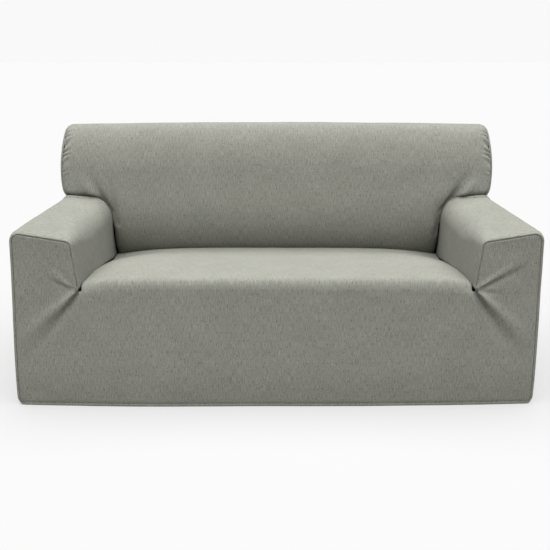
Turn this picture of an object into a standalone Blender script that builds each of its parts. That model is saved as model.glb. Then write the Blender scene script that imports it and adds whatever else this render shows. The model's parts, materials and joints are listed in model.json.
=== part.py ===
"""Fitted stretch cover for a two-seat sofa, as the hollow shell that it makes when it is worn.

Sizes are in metres. They are measured from the floor (z), from the front of the arms (y, towards
the back) and from the middle of the sofa (x). The finished pieces are then moved so that the
origin is at the spot under the top of the backrest where the sofa carries the cover.

Each piece is one cloth: mapped grids are welded into an open surface, the outer face of the
cloth, and a Solidify modifier gives it its thickness inwards. Neighbours stop a seam gap apart.
"""

import math
from collections import namedtuple

import bmesh
import bpy
from mathutils import Vector

# Cloth
CLOTH = 0.002
SEAM_GAP = 0.0003
BUTT_GAP = 0.0016
VALLEY_GAP = 0.0008
TUCK = 0.005
WRAP_TUCK = 0.009
WELD = 0.0001
SEAT_COLOUR = (0.22, 0.22, 0.19)
BACK_COLOUR = (0.22, 0.22, 0.19)
ARM_COLOUR = (0.23, 0.23, 0.20)
CLOTH_ROUGHNESS = 0.92

# Arms
ARM_TOP_OUTER = 0.600
ARM_TOP_INNER = 0.569
ARM_TOP_REAR = 0.588
ARM_TOP_REAR_INNER = 0.568
ARM_INNER_FRONT = 0.637
ARM_INNER_REAR = 0.645
ARM_OUTER_FRONT = 0.859
ARM_OUTER_REAR = 0.8425
ARM_FRONT_ROLL = 0.011
ARM_ROLL_DEPTH = 0.034
SEAM_STRIP = 0.003
ARM_OUTER_RADIUS = 0.037
ARM_INNER_RADIUS_FRONT = 0.032
ARM_INNER_RADIUS_REAR = 0.078
ARM_RADIUS_GROWS_TO = 0.5
ARM_INNER_LEAN = 0.012
FOOT_INSET_SHARE = 0.4
LIP_HEIGHT = 0.005
LIP_WIDTH = 0.014
LIP_FROM_FACE = 0.010
LIP_START = 0.031
LIP_FADE = 0.03
SHOULDER_SHARE = 0.3

# Seat
SEAT_ROLL = 0.032
SEAT_EDGE_POWER_FRONT = 14
SEAT_EDGE_POWER_REAR = 5
SLIT_HEIGHT = 0.393
SLIT_X = 0.643
SLIT_CLEARANCE = 0.010
SLIT_DENT_WIDTH = 0.022
SLIT_DENT_HEIGHT = 0.03

# Skirt
SKIRT_BULGE = 0.020
SKIRT_FLARE = {-1: 0.011, 1: 0.002}
SKIRT_FLARE_WIDTH = 0.6
HEM_TUCK = 0.012
HEM_TUCK_HEIGHT = 0.025
HEM_FLARE = {-1: 0.013, 1: 0.006}
FLARE_LOST_AT_REAR = 0.6

# Backrest
BACK_FACE_LOW = 0.617
BACK_FACE_LOW_HEIGHT = 0.36
BACK_FACE_LEAN = 0.16
BACK_TUCK = 0.078
BACK_TUCK_TOP = 0.62
BACK_TUCK_HEIGHT = 0.26
BESIDE_ARM = 0.016
BESIDE_ARM_REACH = 0.055
BESIDE_ARM_END = 0.70
BESIDE_ARM_FADE = 0.10
BACK_ROLL_START = 0.736
BACK_ROLL_DEPTH = 0.050
BACK_REAR_ROLL = 0.080
BACK_TOP = 0.848
BACK_CROWN = 0.008
CROWN_HALF_WIDTH = 0.83
CROWN_FROM = 0.60
CROWN_RISE = 0.26
CREASED_DEPTH = 0.05
CREASE_START = 0.030
BACK_REAR = 0.872
BACK_REAR_SEAM = 0.745
BACK_LOWEST = 0.335
BACK_DIP_SHARE = 1.0 / 6.0
CORNER_RADIUS = 0.030
STRAIGHT_INSET = 0.012
SIDE_PILLOW = 0.004
GUSSET_POLE = 0.763

# Rows and columns of the grids
FLAP_ROWS = 8
FLAP_COLUMNS = 10
SKIRT_ROWS = 13
SEAT_COLUMNS = 24
SEAT_ROLL_ROWS = 3
SEAT_ROWS = 9
ARC_STEPS = 4
WRAP_ROWS = 7
FRONT_ROLL_STEPS = 3
SIDE_ROWS = 4
BACK_LOW_ROWS = 7
BACK_FACE_ROWS = 8
BACK_ROLL_STEPS = 5
BACK_SIDE_COLUMNS = 7
BACK_REAR_ROWS = 2
REAR_COLUMNS = 6
GUSSET_RINGS = 2
MORE_BESIDE_ARMS = 0.35

RIDGE_PLACE = 1.9
RIDGE_WIDTH = 1.2

Level = namedtuple("Level", "at value")
Fold = namedtuple("Fold", "x z end_x end_z depth width end_width ridge")

# Seat height along its depth: in the middle, and how much lower it is beside the arms.
SEAT_MIDDLE = [
    Level(0.0, 0.431),
    Level(0.10, 0.4305),
    Level(0.25, 0.425),
    Level(0.45, 0.402),
    Level(0.62, 0.376),
]
SEAT_DROP = [Level(0.0, 0.024), Level(0.25, 0.032), Level(0.62, 0.036)]

# Half width of the backrest by height.
BACK_HALF = [
    Level(0.57, 0.8315),
    Level(0.60, 0.838),
    Level(0.64, 0.843),
    Level(0.70, 0.843),
    Level(0.76, 0.838),
    Level(0.85, 0.829),
]

# Creases on the arm fronts, from the slit outwards, and on the inside back above the arms.
ARM_FRONT_FOLDS = {
    -1: [
        Fold(0.648, 0.381, 0.822, 0.148, 0.014, 0.020, 0.036, 0.80),
        Fold(0.652, 0.400, 0.755, 0.462, 0.004, 0.014, 0.018, 0.80),
    ],
    1: [
        Fold(0.648, 0.381, 0.806, 0.150, 0.014, 0.020, 0.034, 0.80),
        Fold(0.652, 0.400, 0.825, 0.502, 0.005, 0.014, 0.020, 0.80),
    ],
}
BACK_FOLDS = {
    -1: [
        Fold(0.668, 0.535, 0.722, 0.660, 0.009, 0.012, 0.022, -1.00),
        Fold(0.630, 0.440, 0.640, 0.620, 0.006, 0.013, 0.024, -0.60),
    ],
    1: [
        Fold(0.668, 0.535, 0.745, 0.650, 0.010, 0.012, 0.024, -1.00),
        Fold(0.630, 0.430, 0.642, 0.560, 0.006, 0.010, 0.016, -0.60),
    ],
}


def lerp(start, end, share):
    return start + (end - start) * share


def ease(share):
    """Smooth step from 0 to 1."""
    share = min(max(share, 0.0), 1.0)
    return share * share * (3.0 - 2.0 * share)


def read(levels, at):
    """Value of a short table at a place, on a straight run between its rows."""
    if at <= levels[0].at:
        return levels[0].value
    for low, high in zip(levels, levels[1:]):
        if at <= high.at:
            return lerp(low.value, high.value, (at - low.at) / (high.at - low.at))
    return levels[-1].value


def bell(distance, width):
    return math.exp(-((distance / width) ** 2))


def fold_depth(folds, x, z):
    """How far a set of creases pulls the cloth in at a place on a face; ridges are negative."""
    total = 0.0
    for fold in folds:
        along = Vector((fold.end_x - fold.x, fold.end_z - fold.z))
        offset = Vector((x - fold.x, z - fold.z))
        share = offset.dot(along) / along.length_squared
        across = (along.x * offset.y - along.y * offset.x) / along.length
        width = lerp(fold.width, fold.end_width, min(max(share, 0.0), 1.0))
        fade = ease(1.0 - share) * ease(1.0 + share * along.length / (2.0 * width))
        beside = across - math.copysign(RIDGE_PLACE * width, fold.ridge)
        ridge = abs(fold.ridge) * bell(beside, RIDGE_WIDTH * width)
        total += fold.depth * fade * (bell(across, width) - ridge)
    return total


# The faces of the sofa, as the cover follows them


def arm_inner(y):
    """Inner face of the arm."""
    return lerp(ARM_INNER_FRONT, ARM_INNER_REAR, y / BACK_FACE_LOW)


def arm_outer(y, z, side):
    """Outer side: it narrows towards the rear, flares to the hem and tucks in at the very edge."""
    half = lerp(ARM_OUTER_FRONT, ARM_OUTER_REAR, min(y / BACK_FACE_LOW, 1.0))
    front_share = 1.0 - FLARE_LOST_AT_REAR * min(y / BACK_REAR, 1.0)
    flare = HEM_FLARE[side] * ease(1.0 - z / ARM_TOP_REAR) * front_share
    tuck = HEM_TUCK * max(1.0 - z / HEM_TUCK_HEIGHT, 0.0) ** 2 * front_share
    return half + flare - tuck


def seat_height(x, y):
    """Top of the seat: crowned, lower beside the arms and towards the back."""
    power = lerp(SEAT_EDGE_POWER_FRONT, SEAT_EDGE_POWER_REAR, min(y / BACK_FACE_LOW, 1.0))
    edge = (abs(x) / ARM_INNER_REAR) ** power
    return read(SEAT_MIDDLE, y) - read(SEAT_DROP, y) * edge


def back_face(z):
    """Front face of the backrest: it leans back, and its padding is drawn in towards the seat."""
    tuck = BACK_TUCK * max((BACK_TUCK_TOP - z) / BACK_TUCK_HEIGHT, 0.0) ** 3
    return BACK_FACE_LOW + BACK_FACE_LEAN * (z - BACK_FACE_LOW_HEIGHT) + tuck


def from_arm(x, z):
    """Distance of a place on the inside back from the arm's inner face and top."""
    radius = ARM_INNER_RADIUS_REAR
    inward = ARM_INNER_REAR + radius - abs(x)
    upward = z - (ARM_TOP_REAR_INNER - radius)
    return max(math.hypot(max(inward, 0.0), max(upward, 0.0)) - radius, 0.0)


def beside_arm(x, z):
    """How far the inside back is drawn in where it meets the arm."""
    near = 1.0 - min(from_arm(x, z) / BESIDE_ARM_REACH, 1.0)
    return BESIDE_ARM * near ** 2 * ease(1.0 - (abs(x) - BESIDE_ARM_END) / BESIDE_ARM_FADE)


def join_depth(x, z):
    """Depth of the arm wrap's rear edge: on the inside back, and even down the outer side."""
    if abs(x) > ARM_INNER_REAR + ARM_INNER_RADIUS_REAR:
        z = max(z, ARM_TOP_REAR_INNER)
    return back_face(z) + beside_arm(x, z) - BUTT_GAP


def back_half(z):
    return read(BACK_HALF, z)


def roll_recess(x, z):
    """How far the front roll of the seat lies behind the skirt at a height."""
    rise = z - (seat_height(x, SEAT_ROLL) - SEAT_ROLL)
    if rise <= 0.0:
        return 0.0
    return SEAT_ROLL - math.sqrt(max(SEAT_ROLL ** 2 - rise ** 2, 0.0))


def front_face(x, z):
    """Depth of the skirt and the arm fronts."""
    width_share = 1.0 - (x / ARM_OUTER_FRONT) ** 2
    side = -1 if x < 0.0 else 1
    reach = abs(x)
    flare = SKIRT_FLARE[side] * ease(reach / SKIRT_FLARE_WIDTH)
    bulge = -(SKIRT_BULGE * width_share + flare) * ease(1.0 - z / ARM_TOP_OUTER)
    if reach <= SLIT_X:
        recess = roll_recess(x, min(z, SLIT_HEIGHT))
    else:
        dent = bell(reach - SLIT_X, SLIT_DENT_WIDTH) * bell(max(z - SLIT_HEIGHT, 0.0), SLIT_DENT_HEIGHT)
        recess = roll_recess(SLIT_X, min(z, SLIT_HEIGHT)) * dent
    creases = fold_depth(ARM_FRONT_FOLDS[side], reach, z)
    return bulge + recess + creases


# Sections


def corner_arc(corner, before, after, radius, steps):
    """Points round a corner of a path, from its first tangent point to its second."""
    corner = Vector(corner)
    arriving = (corner - Vector(before)).normalized()
    leaving = (Vector(after) - corner).normalized()
    turn = arriving.angle(leaving)
    reach = radius * math.tan(turn / 2.0)
    centre = corner + (leaving - arriving).normalized() * (radius / math.cos(turn / 2.0))
    first = corner - arriving * reach - centre
    last = corner + leaving * reach - centre
    points = []
    for step in range(steps + 1):
        share = step / steps
        start = math.sin((1.0 - share) * turn) / math.sin(turn)
        points.append(centre + first * start + last * (math.sin(share * turn) / math.sin(turn)))
    return points


def line(start, end, steps):
    """Points on a straight run, without its first."""
    start = Vector(start)
    end = Vector(end)
    return [start.lerp(end, step / steps) for step in range(1, steps + 1)]


def arm_section(y, side, inset=0.0):
    """Round the arm at one depth, in x and z: up its inner face, over its top and down its side.

    An inset shrinks the section, for the rows where the cloth rolls over onto the front face.
    """
    rear_share = ease(y / BACK_FACE_LOW)
    inner = arm_inner(y) + inset
    outer_top = lerp(ARM_TOP_OUTER, ARM_TOP_REAR, rear_share) - inset
    inner_top = lerp(ARM_TOP_INNER, ARM_TOP_REAR_INNER, rear_share) - inset
    radius_share = ease(y / ARM_RADIUS_GROWS_TO)
    inner_radius = lerp(ARM_INNER_RADIUS_FRONT, ARM_INNER_RADIUS_REAR, radius_share) - inset
    outer_radius = ARM_OUTER_RADIUS - inset
    outer = arm_outer(y, ARM_TOP_REAR, side) - inset
    foot = seat_height(arm_inner(y), y) - WRAP_TUCK
    if y < ARM_ROLL_DEPTH:
        foot = SLIT_HEIGHT + SLIT_CLEARANCE
    low_inner = (arm_inner(y) + FOOT_INSET_SHARE * inset, foot)
    top_inner = (inner + ARM_INNER_LEAN * (1.0 - rear_share), inner_top)
    top_outer = (outer, outer_top)
    low_outer = (outer, SLIT_HEIGHT)

    inner_arc = corner_arc(top_inner, low_inner, top_outer, inner_radius, ARC_STEPS)
    outer_arc = corner_arc(top_outer, top_inner, low_outer, outer_radius, ARC_STEPS)
    points = [Vector(low_inner)]
    points += line(low_inner, inner_arc[0], FLAP_ROWS - ARC_STEPS // 2)
    points += inner_arc[1:]
    points += line(inner_arc[-1], outer_arc[0], FLAP_COLUMNS - ARC_STEPS)
    points += outer_arc[1:]
    points += line(outer_arc[-1], low_outer, FLAP_ROWS - ARC_STEPS // 2)
    points += line(low_outer, (outer, 0.0), SKIRT_ROWS)
    # The straight outer side takes its flare and its tucked hem.
    start = len(points) - SKIRT_ROWS - (FLAP_ROWS - ARC_STEPS // 2)
    for point in points[start:]:
        point.x = arm_outer(y, point.y, side) - inset
    return points


OUTER_CORNER = FLAP_ROWS + FLAP_COLUMNS
SECTION_COLUMNS = 2 * FLAP_ROWS + FLAP_COLUMNS + SKIRT_ROWS


def front_roll():
    """The padding leans back more and more, and then turns over to the flat top."""
    rise = BACK_TOP - BACK_ROLL_START
    points = []
    for step in range(BACK_ROLL_STEPS + 1):
        angle = step / BACK_ROLL_STEPS * math.pi / 2.0
        y = back_face(BACK_ROLL_START) + BACK_FACE_LEAN * rise * math.sin(angle)
        y += BACK_ROLL_DEPTH * (1.0 - math.cos(angle))
        points.append(Vector((y, BACK_ROLL_START + rise * math.sin(angle))))
    return points


def back_rows(low):
    """The inside back in y and z: up the face from a low end, over the top and down to its seam."""
    over = front_roll()
    rear_low = (BACK_REAR, BACK_REAR_SEAM)
    rear_arc = corner_arc((BACK_REAR, BACK_TOP), over[-1], rear_low, BACK_REAR_ROLL, BACK_ROLL_STEPS)
    heights = [lerp(low, BACK_ROLL_START, row / BACK_FACE_ROWS) for row in range(BACK_FACE_ROWS + 1)]
    path = [Vector((back_face(z), z)) for z in heights]
    path += over[1:]
    path += rear_arc
    path += line(rear_arc[-1], rear_low, BACK_REAR_ROWS)
    return path


def rounding(share):
    """Inset from the face and from the side at a share of the way round a vertical corner."""
    angle = share * math.pi / 2.0
    return CORNER_RADIUS * (1.0 - math.cos(angle)), CORNER_RADIUS * (1.0 - math.sin(angle))


# Seams run along the middle of a corner's facet, so the cloths on its two sides are in one plane.
FACET = 1.0 / 3.0
FIRST_FACET = rounding(FACET)
SECOND_FACET = rounding(2.0 * FACET)
SEAM_INSET = (
    (FIRST_FACET[0] + SECOND_FACET[0]) / 2.0,
    (FIRST_FACET[1] + SECOND_FACET[1]) / 2.0,
)


# Building


def clear_scene():
    for thing in list(bpy.data.objects):
        bpy.data.objects.remove(thing, do_unlink=True)


def cloth_material(name, colour):
    material = bpy.data.materials.new(name)
    material.use_nodes = True
    shader = material.node_tree.nodes["Principled BSDF"]
    shader.inputs["Base Color"].default_value = (*colour, 1.0)
    shader.inputs["Roughness"].default_value = CLOTH_ROUGHNESS
    shader.inputs["Metallic"].default_value = 0.0
    return material


def pull_back(points, edge, first, last, distance):
    """Move an edge of a grid of points a little towards the row of points beside it."""
    columns = len(points)
    rows = len(points[0])
    for index in range(first, last + 1):
        column, row, next_column, next_row = {
            "left": (0, index, 1, index),
            "right": (columns - 1, index, columns - 2, index),
            "low": (index, 0, index, 1),
            "high": (index, rows - 1, index, rows - 2),
        }[edge]
        point = points[column][row]
        way = points[next_column][next_row] - point
        points[column][row] = point + way.normalized() * distance


def make_cloth(name, patches, flipped, colour, collection, origin):
    """Weld mapped grids into one open surface and give it the cloth's thickness inwards."""
    surface = bmesh.new()
    for points in patches:
        columns = len(points) - 1
        rows = len(points[0]) - 1
        grid = bmesh.ops.create_grid(surface, x_segments=columns, y_segments=rows, size=0.5)
        for vertex in grid["verts"]:
            column = round((vertex.co.x + 0.5) * columns)
            row = round((vertex.co.y + 0.5) * rows)
            vertex.co = points[column][row] - origin
    bmesh.ops.remove_doubles(surface, verts=surface.verts, dist=WELD)
    if flipped:
        bmesh.ops.reverse_faces(surface, faces=surface.faces)
    mesh = bpy.data.meshes.new(name)
    surface.to_mesh(mesh)
    surface.free()
    mesh.shade_smooth()
    cloth = bpy.data.objects.new(name, mesh)
    collection.objects.link(cloth)
    mesh.materials.append(cloth_material(name, colour))
    thickness = cloth.modifiers.new("cloth_thickness", "SOLIDIFY")
    thickness.thickness = CLOTH
    thickness.offset = -1.0
    return cloth


# Pieces


def wrap_point(y, point, side):
    """A point of the arm wrap, with the small lip of cloth that stands up against the backrest."""
    join = back_face(ARM_TOP_REAR)
    depth = y * join_depth(point.x, point.y) / join
    lift = 0.0
    if point.y > ARM_TOP_REAR - ARM_OUTER_RADIUS:
        shoulder = arm_outer(y, ARM_TOP_REAR, side) - SHOULDER_SHARE * ARM_OUTER_RADIUS
        fade = ease((shoulder - point.x) / LIP_FADE)
        lift = LIP_HEIGHT * bell(y - (join - LIP_FROM_FACE), LIP_WIDTH) * fade
    x = point.x + arm_inner(depth) - arm_inner(y)
    return Vector((side * x, depth, point.y + lift))


def front_roll_rows(side):
    """Front edge of the arm wrap: a flat strip along the seam, then a roll on to the arm."""
    rows = [(ARM_FRONT_ROLL + SEAM_STRIP, 0.0)]
    for step in range(FRONT_ROLL_STEPS):
        angle = step / FRONT_ROLL_STEPS * math.pi / 2.0
        inset = ARM_FRONT_ROLL * (1.0 - math.sin(angle))
        rows.append((inset, ARM_ROLL_DEPTH * (1.0 - math.cos(angle))))
    result = []
    for inset, depth in rows:
        section = arm_section(0.0, side, inset)
        faces = [front_face(side * point.x, point.y) for point in section]
        result.append([Vector((side * p.x, face + depth, p.y)) for p, face in zip(section, faces)])
    return result


def arm_wrap_patches(side):
    """Inner face, top and outer side of one arm, and the outer side on to the rear corner."""
    join = back_face(ARM_TOP_REAR)
    lip_start = join - LIP_START
    depths = [lerp(ARM_ROLL_DEPTH, lip_start, row / WRAP_ROWS) for row in range(WRAP_ROWS + 1)]
    depths += [join - LIP_FROM_FACE, join]
    rows = front_roll_rows(side)
    for depth in depths:
        rows.append([wrap_point(depth, point, side) for point in arm_section(depth, side)])
    over = [list(strip) for strip in zip(*rows)]
    pull_back(over, "low", 0, SECTION_COLUMNS, SEAM_GAP / 2.0)

    straight_end = BACK_REAR - CORNER_RADIUS
    rear = []
    for column in range(OUTER_CORNER, SECTION_COLUMNS + 1):
        strip = [over[column][-1].copy()]
        for row in range(1, SIDE_ROWS + 1):
            depth = lerp(join, straight_end, row / SIDE_ROWS)
            point = arm_section(depth, side)[column]
            strip.append(Vector((side * point.x, depth, point.y)))
        point = arm_section(straight_end, side)[column]
        for inset_face, inset_side in (SECOND_FACET, SEAM_INSET):
            strip.append(Vector((side * (point.x - inset_side), BACK_REAR - inset_face, point.y)))
        rear.append(strip)
    pull_back(rear, "high", 0, len(rear) - 1, SEAM_GAP / 2.0)
    pull_back(rear, "high", 0, 1, VALLEY_GAP)
    pull_back(rear, "left", 1, SIDE_ROWS + 2, SEAM_GAP / 2.0)
    return [over, rear]


def front_outline(side):
    """Seam between the arm wrap and the arm front."""
    return arm_section(0.0, side, ARM_FRONT_ROLL + SEAM_STRIP)


def flap_points(side):
    """Arm front above the slit: a patch between its inner edge, its top and its outer edge."""
    outline = front_outline(side)
    inner = outline[: FLAP_ROWS + 1]
    top = outline[FLAP_ROWS : OUTER_CORNER + 1]
    outer = outline[OUTER_CORNER : OUTER_CORNER + FLAP_ROWS + 1][::-1]
    slit = Vector((SLIT_X, SLIT_HEIGHT))
    inner = [slit] + inner[1:]
    corner = outer[0]
    points = []
    for column in range(FLAP_COLUMNS + 1):
        across = column / FLAP_COLUMNS
        bottom = slit.lerp(corner, across)
        strip = []
        for row in range(FLAP_ROWS + 1):
            up = row / FLAP_ROWS
            sides = inner[row].lerp(outer[row], across)
            ends = bottom.lerp(top[column], up)
            corners = slit.lerp(corner, across).lerp(top[0].lerp(top[-1], across), up)
            place = sides + ends - corners
            x = side * place.x
            strip.append(Vector((x, front_face(x, place.y), place.y)))
        points.append(strip)
    pull_back(points, "left", 1, FLAP_ROWS, SEAM_GAP / 2.0)
    pull_back(points, "high", 0, FLAP_COLUMNS, SEAM_GAP / 2.0)
    pull_back(points, "right", 0, FLAP_ROWS, SEAM_GAP / 2.0)
    if side < 0:
        points.reverse()
    return points


def stations_between_arms(half_width):
    """Columns from one arm to the other, closer together beside the arms."""
    stations = []
    for column in range(SEAT_COLUMNS + 1):
        share = 2.0 * column / SEAT_COLUMNS - 1.0
        stations.append(half_width * ((1.0 + MORE_BESIDE_ARMS) * share - MORE_BESIDE_ARMS * share ** 3))
    return stations


def skirt_points():
    """Front below the slits, from one outer seam to the other."""
    flaps = {side: flap_points(side) for side in (-1, 1)}
    top_row = [strip[0] for strip in flaps[-1]][:-1]
    top_row += [Vector((x, front_face(x, SLIT_HEIGHT), SLIT_HEIGHT)) for x in stations_between_arms(SLIT_X)]
    top_row += [strip[0] for strip in flaps[1]][1:]
    points = []
    for column, top in enumerate(top_row):
        strip = []
        side = -1 if top.x < 0.0 else 1
        outline = front_outline(side)[OUTER_CORNER + FLAP_ROWS :]
        for row in range(SKIRT_ROWS + 1):
            z = SLIT_HEIGHT * row / SKIRT_ROWS
            edge = outline[SKIRT_ROWS - row].x
            x = top.x * edge / outline[0].x
            if row == SKIRT_ROWS:
                strip.append(top.copy())
            else:
                strip.append(Vector((x, front_face(x, z), z)))
        points.append(strip)
    pull_back(points, "left", 0, SKIRT_ROWS - 1, SEAM_GAP / 2.0)
    pull_back(points, "right", 0, SKIRT_ROWS - 1, SEAM_GAP / 2.0)
    return points


def seat_points():
    """Seat between the slits: over the front roll and back to the backrest."""
    points = []
    for x in stations_between_arms(SLIT_X):
        share = x / SLIT_X
        crown = seat_height(x, SEAT_ROLL)
        face = front_face(x, SLIT_HEIGHT) - roll_recess(x, SLIT_HEIGHT)
        centre_z = crown - SEAT_ROLL
        start = math.asin(min(max((SLIT_HEIGHT - centre_z) / SEAT_ROLL, 0.0), 1.0))
        strip = [Vector((x, front_face(x, SLIT_HEIGHT), SLIT_HEIGHT))]
        for row in range(1, SEAT_ROLL_ROWS + 1):
            angle = lerp(start, math.pi / 2.0, row / SEAT_ROLL_ROWS)
            y = face + SEAT_ROLL * (1.0 - math.cos(angle))
            half = arm_inner(max(y, 0.0)) - SEAM_GAP
            strip.append(Vector((share * half, y, centre_z + SEAT_ROLL * math.sin(angle))))
        first = strip[-1].y
        rear_height = seat_height(x, BACK_FACE_LOW)
        last = back_face(rear_height) + beside_arm(x, rear_height) - BUTT_GAP
        for row in range(1, SEAT_ROWS + 1):
            y = lerp(first, last, row / SEAT_ROWS)
            half = arm_inner(y) - SEAM_GAP
            height = seat_height(share * half, y)
            strip.append(Vector((share * half, y, height)))
        points.append(strip)
    return points


def arm_surface(x):
    """Height of the arm's cloth at the backrest, at a distance from the middle."""
    section = arm_section(BACK_FACE_LOW, 1)
    path = section[FLAP_ROWS - ARC_STEPS // 2 : OUTER_CORNER + 1]
    for low, high in zip(path, path[1:]):
        if low.x <= x <= high.x:
            return lerp(low.y, high.y, (x - low.x) / max(high.x - low.x, 1e-9))
    return path[0].y if x < path[0].x else path[-1].y


def path_normals(path):
    """Outward normals of a path in y and z that runs up the front and over the top."""
    normals = []
    for index in range(len(path)):
        before = path[max(index - 1, 0)]
        after = path[min(index + 1, len(path) - 1)]
        along = (after - before).normalized()
        normals.append(Vector((-along.y, along.x)))
    return normals


def back_shape(x, place):
    """Crown of the top and the creases of the inside back."""
    y = place.x
    z = place.y
    side = -1 if x < 0.0 else 1
    crown = BACK_CROWN * (1.0 - (x / CROWN_HALF_WIDTH) ** 2) * ease((z - CROWN_FROM) / CROWN_RISE)
    creases = 0.0
    if y < back_face(z) + CREASED_DEPTH:
        clear = ease(from_arm(x, z) / CREASE_START)
        creases = fold_depth(BACK_FOLDS[side], abs(x), z) * clear + beside_arm(x, z)
    return Vector((x, y + creases, z + crown))


def inside_back_patches():
    """Front of the backrest between the arms and above them, rolled over the top."""
    arm_x = ARM_INNER_REAR - TUCK
    arm_z = arm_section(BACK_FACE_LOW, 1)[FLAP_ROWS - ARC_STEPS // 2].y
    middle = []
    for x in stations_between_arms(arm_x):
        strip = []
        for row in range(BACK_LOW_ROWS):
            z = lerp(BACK_LOWEST, arm_z, row / BACK_LOW_ROWS)
            strip.append(back_shape(x, Vector((back_face(z), z))))
        strip += [back_shape(x, place) for place in back_rows(arm_z)]
        middle.append(strip)
    patches = [middle]
    for side in (-1, 1):
        wide = []
        for column in range(BACK_SIDE_COLUMNS + 1):
            share = column / BACK_SIDE_COLUMNS
            over_arm = lerp(arm_x, back_half(ARM_TOP_REAR) - CORNER_RADIUS, share)
            low = lerp(arm_z, arm_surface(over_arm) - CLOTH, ease(share / BACK_DIP_SHARE))
            path = back_rows(low)
            strip = []
            for place in path:
                x = lerp(arm_x, back_half(place.y) - CORNER_RADIUS, share)
                strip.append(back_shape(side * x, place))
            wide.append(strip)
        low = side_seam_height() + SEAM_GAP
        path = back_rows(low)
        normals = path_normals(path)
        for inset_face, inset_side in (FIRST_FACET, SEAM_INSET):
            strip = []
            for place, normal in zip(path, normals):
                x = back_half(place.y) - inset_side
                strip.append(back_shape(side * x, place - normal * inset_face))
            wide.append(strip)
        pull_back(wide, "right", 0, len(path) - 1, SEAM_GAP / 2.0)
        pull_back(wide, "right", 0, 1, VALLEY_GAP)
        if side < 0:
            wide.reverse()
        patches.append(wide)
    for points in patches:
        pull_back(points, "high", 0, len(points) - 1, SEAM_GAP / 2.0)
    return patches


def side_seam_height():
    """Height of the seam between the outer side and the gusset, behind the arm."""
    return arm_section(BACK_FACE_LOW, 1)[OUTER_CORNER].y


def gusset_path():
    """Rim of the gusset in y and z, from the arm up the front, over the top and down the rear."""
    low = side_seam_height() + SEAM_GAP
    path = back_rows(low)
    path += line(path[-1], (BACK_REAR, low), BACK_FACE_ROWS - BACK_REAR_ROWS)
    return path


def gusset_points(side):
    """Side of the backrest: rings from the rim to the middle line, welded where they meet."""
    path = gusset_path()
    normals = path_normals(path)
    low = path[0].y
    rim = len(path) - 1
    points = []
    for index, (place, normal) in enumerate(zip(path, normals)):
        strip = []
        facing = path[min(index, rim - index)]
        height = min(max(facing.y, low), GUSSET_POLE)
        middle = Vector((lerp(back_face(height), BACK_REAR, 0.5), height))
        # Past the seam's own inset the rings head for the middle, because the roll is tighter there.
        inward = (middle - (place - normal * STRAIGHT_INSET)).normalized()
        for inset_face, inset_side in (SEAM_INSET, SECOND_FACET, (CORNER_RADIUS, 0.0)):
            flat = place - normal * min(inset_face, STRAIGHT_INSET)
            flat += inward * max(inset_face - STRAIGHT_INSET, 0.0)
            flat.y = max(flat.y, low)
            x = side * (back_half(place.y) - inset_side)
            strip.append(Vector((x, flat.x, back_shape(x, flat).z)))
        for ring in range(1, GUSSET_RINGS + 1):
            share = ring / GUSSET_RINGS
            inner = flat.lerp(middle, share)
            x = back_half(inner.y) + SIDE_PILLOW * math.sin(share * math.pi / 2.0)
            strip.append(Vector((side * x, inner.x, inner.y)))
        points.append(strip)
    pull_back(points, "low", 0, len(points) - 1, SEAM_GAP / 2.0)
    return points


def outside_back_points():
    """Rear panel, from the seam below the top down to the hem, on the rows of its neighbours."""
    rows = BACK_FACE_ROWS - BACK_REAR_ROWS
    upper_end = side_seam_height() + SEAM_GAP / 2.0
    upper = [lerp(BACK_REAR_SEAM, upper_end, row / rows) for row in range(rows + 1)]
    lower = {}
    for side in (-1, 1):
        lower[side] = arm_section(BACK_REAR - CORNER_RADIUS, side)[OUTER_CORNER + 1 :]
    edges = [SEAM_INSET, FIRST_FACET, (0.0, CORNER_RADIUS)]
    stations = [(-1.0, inset) for inset in edges]
    stations += [(2.0 * column / REAR_COLUMNS - 1.0, edges[-1]) for column in range(1, REAR_COLUMNS)]
    stations += [(1.0, inset) for inset in reversed(edges)]
    points = []
    for share, (inset_face, inset_side) in stations:
        side = -1 if share < 0.0 else 1
        strip = []
        for z in upper:
            strip.append(Vector((share * (back_half(z) - inset_side), BACK_REAR - inset_face, z)))
        for place in lower[side]:
            strip.append(Vector((share * (place.x - inset_side), BACK_REAR - inset_face, place.y)))
        points.append(strip)
    last_row = len(points[0]) - 1
    pull_back(points, "left", 0, last_row, SEAM_GAP / 2.0)
    pull_back(points, "right", 0, last_row, SEAM_GAP / 2.0)
    for edge in ("left", "right"):
        pull_back(points, edge, rows, rows + 1, VALLEY_GAP)
    pull_back(points, "low", 0, len(points) - 1, SEAM_GAP / 2.0)
    return points


def origin_point():
    """The spot under the top of the backrest, in the middle, where the sofa carries the cover."""
    return Vector((0.0, lerp(back_face(BACK_TOP), BACK_REAR, 0.5), BACK_TOP + BACK_CROWN - CLOTH))


def build():
    clear_scene()
    collection = bpy.data.collections.new("sofa_slipcover")
    bpy.context.scene.collection.children.link(collection)
    origin = origin_point()
    cloths = {
        "seat_front": ([skirt_points(), flap_points(-1), flap_points(1), seat_points()], False, SEAT_COLOUR),
        "inside_back": (inside_back_patches(), False, BACK_COLOUR),
        "arm_wrap_left": (arm_wrap_patches(-1), True, ARM_COLOUR),
        "arm_wrap_right": (arm_wrap_patches(1), False, ARM_COLOUR),
        "back_gusset_left": ([gusset_points(-1)], False, BACK_COLOUR),
        "back_gusset_right": ([gusset_points(1)], True, BACK_COLOUR),
        "outside_back": ([outside_back_points()], False, SEAT_COLOUR),
    }
    for name, (patches, flipped, colour) in cloths.items():
        make_cloth(name, patches, flipped, colour, collection, origin)


build()
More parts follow.
